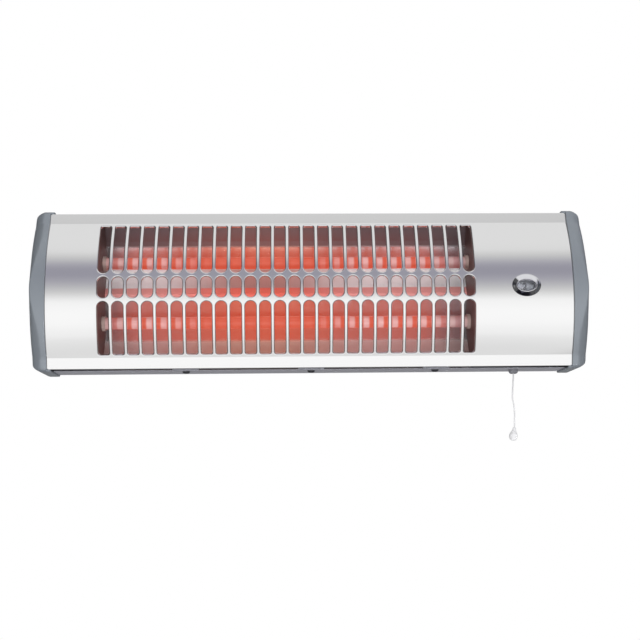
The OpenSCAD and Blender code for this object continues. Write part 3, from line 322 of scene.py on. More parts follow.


# Polished reflector sheet, a mirror in its troughs and dulled elsewhere, with light and glow painted into its
# colour: two ramps by height, blended by a smooth step of the distance from the hottest place, and two more
# for roughness and metal.
def mirrorWithPaintedLight():
    material = newFinish("polished reflector sheet", "EFD8D0", 0.07, 1.0, (14.0, 0.02, 0.0, 0.0), (0.3, 1, 1))
    tree, span = material.node_tree, paintedLightMap["span"]
    split = addNode(tree, "SeparateXYZ", [addNode(tree, "TexCoord").outputs["Object"]])
    height = addNode(tree, "MapRange", [split.outputs["Z"], -span * mm, span * mm])
    ramps = []
    for k in (1, 2, 3, 4):
        stops = [((row[0] + span) / (2 * span), linear(row[k]) if k < 3 else (row[k],) * 3 + (1,))
                 for row in paintedLightMap["stretches"]]
        ramps.append(addNode(tree, "ValToRGB", [height], stops))
    middle = addNode(tree, "Math", [split.outputs["X"], -paintedLightMap["hottest"] * mm], operation="ADD")
    far = addNode(tree, "Math", [middle], operation="ABSOLUTE")
    hot = addNode(tree, "MapRange", [far, paintedLightMap["near"] * mm, paintedLightMap["far"] * mm, 1.0, 0.0], **smooth)
    # painted light and glow: the ends' colours turn into the middle's near the hottest place
    paintedColour = addNode(tree, "Mix", {0: hot, 6: ramps[0], 7: ramps[1]}, data_type="RGBA")
    feed(tree, tree.nodes["Principled BSDF"], {"Base Color": paintedColour.outputs[2], "Roughness": ramps[2],
                                               "Metallic": ramps[3]})
    return material


# strands about 0.4 mm wide, which is coarser than the real ones, so that they show; height in mm
braid = {"lean": 40, "scale": 400.0, "waver": 0.6, "height": 0.05}


# White polyester braid, soft and matt: two waves of strands that lean both ways and cross.
def braidedCord():
    material = newFinish("white braided polyester", "D2D2D4", 0.75, 0.0, (0.5, 0.0, 0.03, 0.05))
    tree, strands = material.node_tree, []
    where = addNode(tree, "TexCoord").outputs["Object"]
    for lean in (-braid["lean"], braid["lean"]):
        leaned = addNode(tree, "Mapping", {"Vector": where, "Rotation": (0, math.radians(lean), 0)})
        inputs = {"Vector": leaned, "Scale": braid["scale"], "Distortion": braid["waver"]}
        strands.append(addNode(tree, "TexWave", inputs, bands_direction="Z").outputs["Fac"])
    both = addNode(tree, "Math", strands, operation="MAXIMUM")
    bump = addNode(tree, "Bump", {"Height": both, "Strength": 0.4, "Distance": braid["height"] * mm})
    feed(tree, tree.nodes["Principled BSDF"], {"Normal": bump})
    return material


# where along the tube the heat ends, and the orange middle that has no painted light patches, left and right,
# and how softly, in mm; then how strongly it shines where it is hot and cold
glow = {"heat": (-178.0, 122.0, 22.0), "body": (-118.0, 24.0, 30.0), "strength": 0.62, "cold": 0.1,
        "light": "EC5236", "coolGlass": "B49A9E", "hotGlass": "7C4C40"}
# painted patches of light falling through the cover's slots onto the tube's cooler ends, in mm: their pitch
# and start, the shares of the pitch that are full and faded, and how far off the wall they begin and are
# full; then their colour
slotLightPatches = {"pitch": 13.29, "phase": -15.3, "share": (0.24, 0.56), "front": (56.5, 59.0), "white": "C6ACAC"}


# Fused quartz with a milky body: orange by the product of two smooth steps along the tube, and where it is
# cooler, whitened by painted light patches by the distance to the nearest patch's middle.
def milkyQuartz():
    material = newFinish("milky fused quartz", "EFE6E2", 0.2, 0.0, (3.0, 0.004, 0.0, 0.2), more={"IOR": 1.46})
    tree, shares = material.node_tree, []
    x, y, _ = addNode(tree, "SeparateXYZ", [addNode(tree, "TexCoord").outputs["Object"]]).outputs
    for left, right, fade in (glow["heat"], glow["body"]):
        rise, fall = (addNode(tree, "MapRange", [x, (end - part) * mm, (end + part) * mm], **smooth)
                      for end, part in ((left, fade), (right, -fade)))
        shares.append(addNode(tree, "Math", [rise, fall], operation="MULTIPLY"))
    heat, orange = shares
    step = addNode(tree, "Math", [x, 1000 / slotLightPatches["pitch"], -slotLightPatches["phase"] / slotLightPatches["pitch"]],
                   operation="MULTIPLY_ADD")
    wave = addNode(tree, "Math", [step, 0.5], operation="PINGPONG")
    band = addNode(tree, "MapRange", [wave, *(s / 2 for s in slotLightPatches["share"]), 1.0, 0.0], **smooth)
    front = addNode(tree, "MapRange", [y, -slotLightPatches["front"][0] * mm, -slotLightPatches["front"][1] * mm])
    patch = addNode(tree, "Math", [band, front], operation="MULTIPLY")
    # painted light: the patches lie only outside the orange middle, and there the tube shines less
    pale = addNode(tree, "Mix", {0: orange, 2: patch, 3: 0.0}, data_type="FLOAT")
    glass = addNode(tree, "Mix", {0: heat, 6: linear(glow["coolGlass"]), 7: linear(glow["hotGlass"])},
                    data_type="RGBA")
    body = addNode(tree, "Mix", {0: pale, 6: glass.outputs[2], 7: linear(slotLightPatches["white"])}, data_type="RGBA")
    hot = addNode(tree, "MapRange", [heat, 0, 1, glow["cold"], glow["strength"]])
    veil = addNode(tree, "MapRange", [pale, 0, 1, 1.0, 0.5])
    lit = addNode(tree, "Math", [hot, veil], operation="MULTIPLY")
    feed(tree, tree.nodes["Principled BSDF"], {"Base Color": body.outputs[2], "Emission Strength": lit,
                                               "Emission Color": linear(glow["light"])})
    return material


finishes.update(reflector_steel=mirrorWithPaintedLight(), cord_white=braidedCord(), quartz=milkyQuartz())
print("finishes mixed")

# in mm; the route is told by x, depth and height
cord = {
    "route": [[189, 18, -52], [189, 18, -62], [189, 18, -77], [188.4, 18, -85], [187.6, 18, -93],
              [187.4, 18, -100], [188.6, 18, -107], [188.6, 18, -115], [188.1, 18, -126]],
    "steps": 4, "diameter": 1.3, "length": 74.4, "exit": (189, 18, -76),
}
# in mm and degrees; the profile is in shares of the radius and of the length
toggle = {
    "diameter": 7.8, "length": 12.5, "lean": 10.0,
    "profile": [[0, 0], [0.3, 0], [0.36, 0.02], [0.42, 0.1], [0.46, 0.22], [0.62, 0.32], [0.84, 0.42],
                [0.96, 0.54], [1, 0.66], [0.95, 0.78], [0.8, 0.89], [0.55, 0.965], [0.25, 1], [0, 1]],
}


# A cubic between neighbours, whose slope at each point is the way on, as long as the shorter step there.
def smoothRoute(points, steps):
    p = np.array(points, float)
    step = np.diff(p, axis=0)
    long = np.linalg.norm(step, axis=1)
    inner = unitRows(p[2:] - p[:-2]) * np.minimum(long[1:], long[:-1])[:, None]
    slope = np.vstack([step[:1], inner, step[-1:]])
    a, b, u, v = (q[:, None] for q in (p[:-1], p[1:], slope[:-1], slope[1:]))
    t = (np.arange(steps) / steps)[None, :, None]
    curve = a + u * t + (3 * (b - a) - 2 * u - v) * t ** 2 + (2 * (a - b) + u + v) * t ** 3
    return np.vstack([curve.reshape(-1, 3), p[-1:]])


# The cord along its route, and the toggle at its end: a thin neck that swells, then a round foot.
def makeCord():
    route = smoothRoute(cord["route"], cord["steps"])
    path = at(*route.T)
    piece = addPiece("pullCord", tubeAlong(path, cord["diameter"] / 2, 12, (0, 1, 0)), "cord_white",
                     ["pull_cord"], "pull")
    lean = math.radians(toggle["lean"])
    profile = np.array(toggle["profile"]) * [toggle["diameter"] / 2, toggle["length"]]
    hand = addPiece("cordToggle", lathe(profile, path[-1], (-math.sin(lean), 0, -math.cos(lean)), 24),
                    "toggle_plastic", ["pull_toggle"], "pull", levels=2, sharp=180)
    tuple((at(*cord["exit"]) * mm).tolist())


makeCord()
print("pull cord hung")

cover = {
    "end": 243.0, "half": 71.8, "edgeDepth": 43.4, "hem": 1.2, "flat": 10.4, "lean": 12.5, "bulge": 18.6,
    "sheet": 0.8, "edgeRound": 0.7, "pitch": 13.2, "columns": 26, "middle": -21.8, "slotHalf": 4.9,
    "midStraight": 4.7, "rowLine": 11.3, "outerFoot": 17.9, "outerTop": 57.5, "cornerRound": 2.0,
    "cellTop": 61.0, "lipRound": 1.2, "lipDepth": 2.6, "creaseHalf": 0.35,
    "leftLines": [-238.0, -222.0, -208.0], "rightLines": [162.0, 227.0, 238.0],
}
leanAngle = math.radians(cover["lean"])
creaseZ = cover["half"] - cover["flat"] * math.cos(leanAngle)
creaseRise = cover["bulge"] - cover["flat"] * math.sin(leanAngle)
bowRadius = (creaseZ ** 2 + creaseRise ** 2) / (2 * creaseRise)
bowCentre = cover["edgeDepth"] + cover["bulge"] - bowRadius
frontDepth = cover["edgeDepth"] + cover["bulge"]


# A point of the bow, pushed in along the bow's own normal.
def bowPoint(x, z, below):
    x, z, below = np.broadcast_arrays(x, z, below)
    tilt = np.arcsin(z / bowRadius)
    r = bowRadius - below
    return at(x, bowCentre + r * np.cos(tilt), r * np.sin(tilt))


# The bow's normal, turned towards a direction in its surface.
def bowNormal(z, inPlaneX, inPlaneZ, turn):
    z, inPlaneX, inPlaneZ, turn = np.broadcast_arrays(z, inPlaneX, inPlaneZ, turn)
    tilt = np.arcsin(z / bowRadius)
    out = np.stack([0 * z, -np.cos(tilt), np.sin(tilt)], -1)
    along = np.stack([0 * z, np.sin(tilt), np.cos(tilt)], -1)
    side = inPlaneX[..., None] * np.array([1.0, 0, 0]) + inPlaneZ[..., None] * along
    return np.cos(turn)[..., None] * out + np.sin(turn)[..., None] * side


onRim = 99  # the offset of a ring that lies on its cell's rim


# Rings from a cell's rim to the hole's edge and round its lip. The outline gives, for each rim point, the
# centre, radius and angle of the edge point opposite. A ring is its offset from the edge, its depth and its
# normal's turn.
def holeCell(centres, rect, outline, rings):
    cx = np.array(centres, float)[:, None, None]
    ox, oz, radius, angle = (np.array(v, float)[None, None, :] for v in outline)
    rx, rz = (np.array(v, float)[None, None, :] for v in rect)
    off, below, turn = (np.array(v, float)[None, :, None] for v in zip(*rings))
    x = np.where(off == onRim, cx + rx, cx + ox + (radius + off) * np.cos(angle))
    z = np.where(off == onRim, rz, oz + (radius + off) * np.sin(angle))
    points = bowPoint(x, z, below)
    normals = bowNormal(z, -np.cos(angle) + 0 * x, -np.sin(angle) + 0 * x, np.radians(turn) + 0 * x)
    cells, count, around = points.shape[:3]
    faces = gridFaces(count, around, ring=True)
    faces = (faces[None] + (np.arange(cells) * count * around)[:, None, None]).reshape(-1, 4)
    return points.reshape(-1, 3), faces, normals.reshape(-1, 3)


# Flat rim, a quarter roll into the slot, a short wall, a rounded end, and back along the inside.
def lipRings():
    r, t = cover["lipRound"], cover["sheet"]
    deep, half = cover["lipDepth"], t / 2
    roll = [(r * (1 - math.sin(math.radians(a))), r * (1 - math.cos(math.radians(a))), a)
            for a in (0, 15, 30, 45, 60, 75, 90)]
    end = [(half - half * math.cos(math.radians(a)), deep + half * math.sin(math.radians(a)), 90 + a)
           for a in (0, 45, 90, 135, 180)]
    inside = [(t, 1.35, 270), (t + 0.12, 0.98, 225), (t + 0.45, t, 180)]
    return [(onRim, 0, 0)] + roll + end + inside + [(onRim, t, 180)]


# heights of the points up a middle and an outer cell's side, and places along an outer cell's top
straight = np.linspace(-cover["midStraight"], cover["midStraight"], 9)
sideMid = np.r_[-cover["rowLine"], -9.1, -6.9, straight, 6.9, 9.1]
sideUp = np.r_[cover["rowLine"], 13.5, 15.7, np.linspace(cover["outerFoot"], cover["outerTop"], 11), 59.2]
topLine = np.array([6.6, 4.95, 3.3, 1.65, 0, -1.65, -3.3, -4.95])


# Rim and edge of a round-ended slot, anticlockwise from the lower right.
def middleSlot():
    half, w = cover["pitch"] / 2, cover["slotHalf"]
    rx = np.r_[np.full(14, half), 6.6, 4.4, 2.2, 0, -2.2, -4.4]
    rz = np.r_[sideMid, np.full(6, cover["rowLine"])]
    angle = np.radians([-45, -30, -15] + [0] * 9 + [15, 30] + [45, 60, 75, 90, 105, 120])
    oz = np.clip(rz, -cover["midStraight"], cover["midStraight"])
    outline = np.zeros(40), np.r_[oz, -oz], np.full(40, w), np.r_[angle, angle + np.pi]
    return (np.r_[rx, -rx], np.r_[rz, -rz]), outline


# Rim and edge of an outer slot: round at its foot, small corners at its top.
def outerSlot():
    half, w, c = cover["pitch"] / 2, cover["slotHalf"], cover["cornerRound"]
    top, cut = cover["cellTop"], cover["slotHalf"] - cover["cornerRound"]
    rise = np.r_[sideUp, top]
    angle = np.array([-45, -30, -15] + [0] * 11 + [22.5, 45])
    high = rise >= cover["outerTop"] - 1e-6
    right = np.stack([np.full(16, half), rise, np.where(high, cut, 0),
                      np.clip(rise, cover["outerFoot"], cover["outerTop"]), np.where(high, c, w), angle])
    left = right[:, ::-1] * np.array([-1, 1, -1, 1, 1, -1])[:, None] + np.array([0] * 5 + [180])[:, None]
    lid = np.stack([topLine, np.full(8, top), [cut, cut, cut, cut / 2, 0, -cut / 2, -cut, -cut],
                    np.full(8, cover["outerTop"]), np.full(8, c), [45, 67.5] + [90] * 5 + [112.5]])
    foot = np.stack([[-6.6, -4.4, -2.2, 0, 2.2, 4.4], np.full(6, cover["rowLine"]), np.zeros(6),
                     np.full(6, cover["outerFoot"]), np.full(6, w), [225, 240, 255, 270, 285, 300]])
    ring = np.concatenate([right[:, :-1], lid, left[:, :-1], foot], axis=1)
    return (ring[0], ring[1]), (ring[2], ring[3], ring[4], np.radians(ring[5]))


window = {"x": 195.0, "half": 20.0, "holeA": 10.3, "holeB": 6.85, "columns": 16}


# An oval hole in a plain cell, hidden under the window's frame.
def windowHole():
    across = np.linspace(window["half"], -window["half"], window["columns"] + 1)[:-1]
    rx = np.r_[np.full(14, window["half"]), across]
    rz = np.r_[sideMid, np.full(window["columns"], cover["rowLine"])]
    rx, rz = np.r_[rx, -rx], np.r_[rz, -rz]
    t = np.arctan2(rz / cover["rowLine"], rx / window["half"])
    flat = np.zeros(len(rx))
    edge = (window["holeA"] * np.cos(t), window["holeB"] * np.sin(t), flat, flat)
    return (rx, rz), edge


# The section from the cell line over the crease, down the flat band and round the edge to the hem's end:
# depth, height, the normal's lean, and how far the inside lies behind.
def edgeRows():
    t, r = cover["sheet"], cover["edgeRound"]
    rows = [(bowCentre + math.sqrt(bowRadius ** 2 - z * z), z, math.asin(z / bowRadius), t)
            for z in (cover["cellTop"], creaseZ - cover["creaseHalf"])]
    up = creaseZ + cover["creaseHalf"]
    rows.append((cover["edgeDepth"] + (cover["half"] - up) * math.tan(leanAngle), up, leanAngle, t))
    cz = cover["half"] - r
    cd = cover["edgeDepth"] + (-r + r * math.sin(leanAngle)) / math.cos(leanAngle)
    for a in np.linspace(leanAngle, math.pi / 2, 5):
        rows.append((cd + r * math.cos(a), cz + r * math.sin(a), a, r - 0.05))
    rows.append((cover["edgeDepth"] - cover["hem"], cover["half"], math.pi / 2, t))
    return np.array(rows)


# The cover as strips of quads with their normals, outside and inside: slots, plain bow, edges and cut ends.
def makeCover():
    t, half = cover["sheet"], cover["pitch"] / 2
    columns = cover["middle"] + (np.arange(cover["columns"]) - (cover["columns"] - 1) / 2) * cover["pitch"]
    leftX = np.array([-cover["end"], *cover["leftLines"], columns[0] - half])
    windowX = np.linspace(window["x"] - window["half"], window["x"] + window["half"], window["columns"] + 1)
    near, *beyond = cover["rightLines"]
    rightX = np.r_[columns[-1] + half, near, windowX, beyond, cover["end"]]
    slotX = (columns[:, None] + topLine[::-1][None]).ravel()
    allX = np.unique(np.round(np.r_[leftX, slotX, rightX], 6))
    pieces, normals = [], []

    def keep(points, faces, lean):
        pieces.append((points.reshape(-1, 3), faces))
        normals.append(lean.reshape(-1, 3))

    # the slots, three rows of them, and the window's hole
    for rect, outline, flip in ((*middleSlot(), 1), (*outerSlot(), 1), (*outerSlot(), -1)):
        points, faces, lean = holeCell(columns, rect, outline, lipRings())
        keep(points * [1, 1, flip], faces, lean * [1, 1, flip])
    keep(*holeCell([window["x"]], *windowHole(), [(onRim, 0, 0), (0, 0, 0), (0, t, 180), (onRim, t, 180)]))
    # plain bow on both sides of the grille
    upZ, midZ = np.r_[sideUp, cover["cellTop"]], np.r_[sideMid, cover["rowLine"]]
    outside = rightX[rightX <= windowX[0] + 1e-6], rightX[rightX >= windowX[-1] - 1e-6]
    for xs, zs in ((leftX, midZ), (leftX, upZ), (leftX, -upZ), (rightX, upZ), (rightX, -upZ),
                   (outside[0], midZ), (outside[1], midZ)):
        for below, turn in ((0, 0), (t, math.pi)):
            grid = bowPoint(xs[None, :], zs[:, None], below)
            keep(grid, gridFaces(*grid.shape[:2]), bowNormal(zs[:, None] + 0 * xs, 0.0, 0.0, turn))
    # crease, flat band, rounded edge and hem, outside and back along the inside
    depth, z, lean, inward = edgeRows().T
    backDepth, backZ = depth - inward * np.cos(lean), z - inward * np.sin(lean)
    loopD, loopZ = np.r_[depth, backDepth[::-1]], np.r_[z, backZ[::-1]]
    loopLean = np.r_[lean, lean[::-1] + math.pi]
    for flip in (1, -1):
        grid = at(allX[None, :], loopD[:, None], flip * loopZ[:, None])
        away = np.stack([0 * loopLean, -np.cos(loopLean), flip * np.sin(loopLean)], -1)
        keep(grid, gridFaces(*grid.shape[:2]), np.repeat(away[:, None], len(allX), 1))

    # the sheet's cut ends, hidden in the caps
    def endLine(edgeD, edgeZ, bowD, bowZ):
        edge = np.stack([edgeD, edgeZ], -1)[1:]
        return np.vstack([(edge * [1, -1])[::-1], np.stack([bowD, bowZ], -1), edge])

    line = np.unique(np.round(np.r_[midZ, upZ, -upZ], 6))
    tilt, r = np.arcsin(line / bowRadius), bowRadius - t
    outer = endLine(depth, z, bowCentre + np.sqrt(bowRadius ** 2 - line ** 2), line)
    inner = endLine(backDepth, backZ, bowCentre + r * np.cos(tilt), r * np.sin(tilt))
    for side in (-1, 1):
        grid = np.stack([at(side * cover["end"], p[:, 0], p[:, 1]) for p in (outer, inner)], 1)
        keep(grid, gridFaces(*grid.shape[:2]), np.broadcast_to(np.array([side, 0.0, 0.0]), grid.shape))
    addPiece("frontCover", joined(pieces), "cover_steel", ["front_cover"], normals=np.vstack(normals))


makeCover()
print("front cover pressed")


# A plain box between depths, with quads on its six sides.
def block(x0, x1, d0, d1, z0, z1):
    corner = at(*[v.ravel() for v in np.meshgrid([x0, x1], [d0, d1], [z0, z1], indexing="ij")])
    sides = [[0, 1, 3, 2], [4, 6, 7, 5], [0, 4, 5, 1], [2, 3, 7, 6], [0, 2, 6, 4], [1, 5, 7, 3]]
    return corner, np.array(sides)


tabs = {"pitch": 115.0, "half": 12.0, "back": 14.0, "front": 42.3, "low": 70.3, "high": 71.1}
strips = [block(x - tabs["half"], x + tabs["half"], *(tabs[k] for k in ("back", "front", "low", "high")))
          for x in (-tabs["pitch"], 0, tabs["pitch"])]
addPiece("coverTabs", joined(strips + [mirrored(s, 2) for s in strips]), "cover_steel")

cap = {
    "rim": 2.0, "reach": 14.3, "edgeReach": 6.0, "curve": 7.0, "wall": 2.2, "start": 238.0, "lapStart": 234.6,
    "lipStart": 229.5, "lipZ": 68.0, "fallZ": 51.0, "crown": 0.9, "seatEnd": 243.1, "gap": 0.1, "top": 73.8,
    "corner": 2.0, "shoulder": 0.8, "bowPoints": 49,
    # shares of the way between the section's arcs: underside, lower band, upper band, top, back
    "shares": [[0.2, 0.4, 0.6, 0.75, 0.9], [0.4, 0.75], [0.25, 0.6], [0.1, 0.25, 0.4, 0.6, 0.8],
               [0.012, 0.016, *np.linspace(0.08, 0.92, 13), 0.984, 0.988]],
    # the dome's rows, by how far in from its edge they lie, inside and outside
    "inside": (0, 1, 2.5, 5, 8, 12, 16, 20), "outside": (1.2, 2, 3, 4.5, 6.5, 9, 12, 15, 18, 21),
    # its rounded corner: how far in the outline and the reach are taken, and how far back
    "round": ((0, 0, 2.6), (0, 0, 1.2), (0.1, 0, 0.62), (0.34, 0.34, 0.28), (0.7, 0.7, 0.08)),
}


# A round of this radius in the corner at b, from a's side to c's.
def cornerArc(a, b, c, radius, count=7):
    a, b, c = (np.array(p, float) for p in (a, b, c))
    u, v = unitRows(a - b), unitRows(c - b)
    half = math.acos(np.clip(u @ v, -1, 1)) / 2
    middle = b + unitRows(u + v) * radius / math.sin(half)
    x, y = b + u * radius / math.tan(half) - middle
    t = np.linspace(0, math.pi - 2 * half, count)[:, None]
    return middle + np.hstack([x * np.cos(t) - y * np.sin(t), x * np.sin(t) + y * np.cos(t)])


# Points at these shares of the way from a to b.
def between(a, b, shares):
    return np.array(a) + (np.array(b) - np.array(a)) * np.array(shares)[:, None]


# The heater's section grown outwards: back, underside, lower band, bow, upper band, top.
def capOutline(grow):
    slant = 1 / math.cos(leanAngle) - math.tan(leanAngle)
    edge = (cover["edgeDepth"] + grow * slant, cover["half"] + grow)
    line = cover["edgeDepth"] + cover["half"] * math.tan(leanAngle) + grow / math.cos(leanAngle) - bowCentre
    m, r = math.tan(leanAngle), bowRadius + grow
    cz = (m * line + math.sqrt(m * m * line * line - (1 + m * m) * (line * line - r * r))) / (1 + m * m)
    cd = bowCentre + line - m * cz
    span = math.asin(cz / r)
    t = np.linspace(-span, span, cap["bowPoints"])
    bow = np.stack([bowCentre + r * np.cos(t), r * np.sin(t)], -1)
    low, high, ahead = (-grow, -edge[1]), (-grow, edge[1]), (edge[0], edge[1])
    under = (edge[0], -edge[1])
    r = max(0.4, cap["corner"] + grow)
    arcs = [cornerArc(high, low, under, r), cornerArc(low, under, (cd, -cz), r), bow,
            cornerArc((cd, cz), ahead, high, r), cornerArc(ahead, high, low, r)]
    return np.vstack([points for arc, after, shares in zip(arcs, arcs[1:] + arcs[:1], cap["shares"])
                      for points in (arc, between(arc[-1], after[0], shares))])


# How far the dome stands out at a distance in from its edge: a soft corner curve, then a slow crown.
def capReach(inset, z):
    k = np.clip(np.abs(z) / cap["fallZ"], 0, 1)
    full = cap["reach"] - cap["shoulder"]
    edge = full - (full - cap["edgeReach"]) * k * k * (3 - 2 * k)
    crown = cap["reach"] - cap["crown"] * np.minimum(1, np.abs(z) / cap["top"]) ** 2
    return crown - (crown - edge) * max(0.0, 1 - inset / cap["curve"]) ** 2


# The outline grown this far, at one x or at an x for each of its points.
def capRow(grow, x):
    loop = capOutline(grow)
    x = x(loop) if callable(x) else np.full(len(loop), x)
    return at(x, loop[:, 0], loop[:, 1])


# A row at the dome's reach less a step back.
def domeRow(grow, inset, back):
    return capRow(grow, lambda loop: cap["start"] + capReach(inset, loop[:, 1]) - back)


# Rows inwards from the edge, then three that shrink to the dome's heart.
def domeRows(grow, insets, back):
    rows = [domeRow(grow - s, s, back) for s in insets]
    last = rows[-1]
    heart = at(cap["start"] + cap["reach"] - back, frontDepth / 2, 0)
    for share in (0.7, 0.35, 0.0):
        row = heart + (last - heart) * share
        row[:, 0] = cap["start"] + capReach(cap["curve"], row[:, 2]) - back
        rows.append(row)
    return rows


# The cap's shell from its inner heart over the seat, the lip and the rim to its outer heart. The top and the
# bottom edge lap over the cover, and the rear lip reaches further in.
def makeCaps():
    def start(loop, more):
        lap = np.interp(loop[:, 0], [cover["edgeDepth"] - 0.4, cover["edgeDepth"] + 0.4],
                        [cap["lapStart"], cap["start"]])
        return np.where((loop[:, 0] < 0) & (np.abs(loop[:, 1]) < cap["lipZ"]), cap["lipStart"], lap) + more

    rim, gap, under = cap["rim"], cap["gap"], cap["rim"] - cap["wall"]
    rows = domeRows(under, cap["inside"], cap["wall"] * 0.9)[::-1]
    rows += [capRow(grow, cap["seatEnd"]) for grow in (under, gap)]
    for grow, more in ((gap, 0.2), (gap + 0.2, 0.0), (1.2, 0.0), (rim - 0.35, 0.0), (rim - 0.1, 0.1),
                       (rim, 0.4), (rim, 1.6)):
        rows.append(capRow(grow, lambda loop: start(loop, more)))
    rows += [domeRow(rim - less, inset, back) for less, inset, back in cap["round"]]
    rows += domeRows(rim, cap["outside"], 0.0)
    right = gridPatch(np.array(rows), ring=True)
    addPiece("rightEndCap", right, "cap_plastic", ["right_end_cap"], sharp=50)
    addPiece("leftEndCap", mirrored(right, 0), "cap_plastic", ["left_end_cap"], sharp=50)


makeCaps()
print("end caps moulded")

bezel = {
    "halfW": 13.2, "halfH": 10.35, "lensW": 8.1, "lensH": 4.65, "steps": 96, "shiftX": -0.7, "shiftZ": -0.9,
    # share of the way from the outer edge to the lens, and height ahead of the cover's front
    "section": [(0.0, -1.0), (0.0, 0.0), (0.03, 0.22), (0.18, 1.0), (0.33, 1.82), (0.48, 2.6), (0.6, 3.2),
                (0.7, 3.68), (0.76, 3.9), (0.8, 3.95), (0.84, 3.85), (0.92, 3.3), (0.99, 2.6), (1.05, 1.85),
                (1.05, 0.9), (1.0, -0.5), (0.86, -0.5), (0.86, -3.4), (0.62, -3.4), (0.62, -1.0)],
}
# flat behind, gently domed ahead: share of its half width, and height ahead of the cover's front
lens = {
    "halfW": 8.8, "halfH": 5.35,
    "section": [(0, -2.4), (1, -2.4), (1, -0.62), (0.96, -0.55), (0.8, -0.12), (0.6, 0.16), (0.4, 0.34),
                (0.2, 0.45), (0, 0.48)],
}


# Frame and lens: an ellipse carried through a section, whose share blends the outer one into the inner one.
def makeWindow():
    turn = np.linspace(0, 2 * np.pi, bezel["steps"], endpoint=False)[None]
    share, rise = np.array(bezel["section"] + bezel["section"][:1]).T[:, :, None]
    x = (bezel["halfW"] + (bezel["lensW"] - bezel["halfW"]) * share) * np.cos(turn)
    z = (bezel["halfH"] + (bezel["lensH"] - bezel["halfH"]) * share) * np.sin(turn)
    fall = bowRadius - np.sqrt(bowRadius ** 2 - z ** 2)  # the seat follows the bow
    depth = frontDepth + rise - np.where(share < 0.5, fall * (1 - 2 * share), 0)
    shift = share * np.clip(rise / 2, 0, 1)  # the raised crest leans a little down and to the left
    x, z = x + bezel["shiftX"] * shift, z + bezel["shiftZ"] * shift
    addPiece("windowBezel", gridPatch(at(window["x"] + x, depth, z), ring=True), "bezel_chrome",
             ["window_bezel"], sharp=50)
    share, rise = np.array(lens["section"]).T[:, :, None]
    x, z = window["x"] + lens["halfW"] * share * np.cos(turn), lens["halfH"] * share * np.sin(turn)
    addPiece("windowLens", gridPatch(at(x, frontDepth + rise, z), ring=True), "lens_smoke",
             ["window_lens"], sharp=50)


makeWindow()

# the disc's middle and face, the digits' radius, height and boldness, and how many degrees they stand ahead
dial = {"x": 193.0, "z": -12.0, "depth": 55.5, "radius": 11.9, "height": 4.7, "bold": 0.5, "ahead": 8.0,
        "marks": "201201", "sizeShare": 1.36, "thick": 0.05}


# Plain digits round the disc, each upright when its step stands behind the window.
def makeDigits():
    def turned(degrees, axis):
        return Matrix.Rotation(math.radians(degrees), 4, axis)

    work = bmesh.new()
    for step, mark in enumerate(dial["marks"]):
        words = bpy.data.curves.new("mark", "FONT")
        words.body, words.align_x, words.align_y = mark, "CENTER", "CENTER"
        words.size, words.extrude = dial["height"] * dial["sizeShare"] * mm, dial["thick"] * mm
        words.offset = dial["bold"] * mm
        holder = newObject("mark", words)
        bpy.context.view_layer.update()
        flat = bpy.data.meshes.new_from_object(holder.evaluated_get(bpy.context.evaluated_depsgraph_get()))
        bpy.data.objects.remove(holder)
        face = at(dial["x"], dial["depth"] + dial["thick"], dial["z"])
        flat.transform(Matrix.Translation(Vector(face) * mm) @ turned(60 * step + dial["ahead"], "Y")
                       @ Matrix.Translation((0, 0, dial["radius"] * mm)) @ turned(-dial["ahead"], "Y")
                       @ turned(90, "X"))
        work.from_mesh(flat)
    bmesh.ops.remove_doubles(work, verts=work.verts, dist=1e-6)
    bmesh.ops.recalc_face_normals(work, faces=work.faces)
    mesh = bpy.data.meshes.new("dialDigits")
    work.to_mesh(mesh)
    work.free()
    mesh.materials.append(digitInk)
    piece = newObject("dialDigits", mesh)
    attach(piece, "rotor")


makeDigits()
print("sight window fitted")

# the tubes lie in the foci of the reflector's troughs; in mm, with depth and z for their middles
tube = {
    "left": -199.3, "right": 155.7, "depth": 29.0, "z": 28.0, "radius": 5.5, "wall": 1.0, "edge": 0.3,
    "coilRadius": 3.05, "wire": 0.4, "coilPitch": 2.2, "coilStart": 2, "perTurn": 12,
}
# flange and bend by depth and height; the rounds are those of its fold, its wing's end and its ridge
reflector = {
    "left": -191.3, "right": 147.7, "sheet": 0.6, "flange": (14.0, 70.0), "bend": (33.0, 70.0), "trough": 9.5,
    "ridge": 20.0, "half": 24.0, "rounds": (1.2, 2.5, 1.5), "columns": 9,
}


# Two parabolic troughs with a tube in each focus, a ridge between them, and flat wings out to the flanges.
def makeReflector():
    z = tube["z"] + np.linspace(1, -1, 25) * reflector["half"]
    focal = tube["depth"] - reflector["trough"]
    trough = np.stack([reflector["trough"] + (z - tube["z"]) ** 2 / (4 * focal), z], -1)
    flange, bend = np.array(reflector["flange"]), np.array(reflector["bend"])
    foldRound, turnRound, ridgeRound = reflector["rounds"]
    fold = cornerArc(flange, bend, trough[0], foldRound)
    turn = cornerArc(bend, trough[0], trough[1], turnRound)
    wing = between(fold[-1], turn[0], [0.02, 0.98])
    ridge = cornerArc(trough[-1], (reflector["ridge"], 0), trough[-1] * [1, -1], ridgeRound)
    upper = np.vstack([flange, fold[:1] - [0.3, 0], fold, wing, turn, trough[2:], ridge[:3]])
    line = np.vstack([upper, ridge[3:4], upper[::-1] * [1, -1]])
    along = unitRows(np.gradient(line, axis=0))
    side = np.stack([along[:, 1], -along[:, 0]], -1) * reflector["sheet"] / 2
    loop = np.vstack([line + side, (line - side)[::-1]])
    xs = np.linspace(reflector["left"], reflector["right"], reflector["columns"])
    skin = gridPatch(at(xs[:, None], loop[None, :, 0], loop[None, :, 1]), ring=True)
    faces = np.stack([line + side, line - side]).transpose(2, 0, 1)
    ends = [gridPatch(at(x, *faces)) for x in xs[[0, -1]]]
    addPiece("mirrorReflector", joined([skin] + ends), "reflector_steel", ["reflector"], sharp=50)


makeReflector()


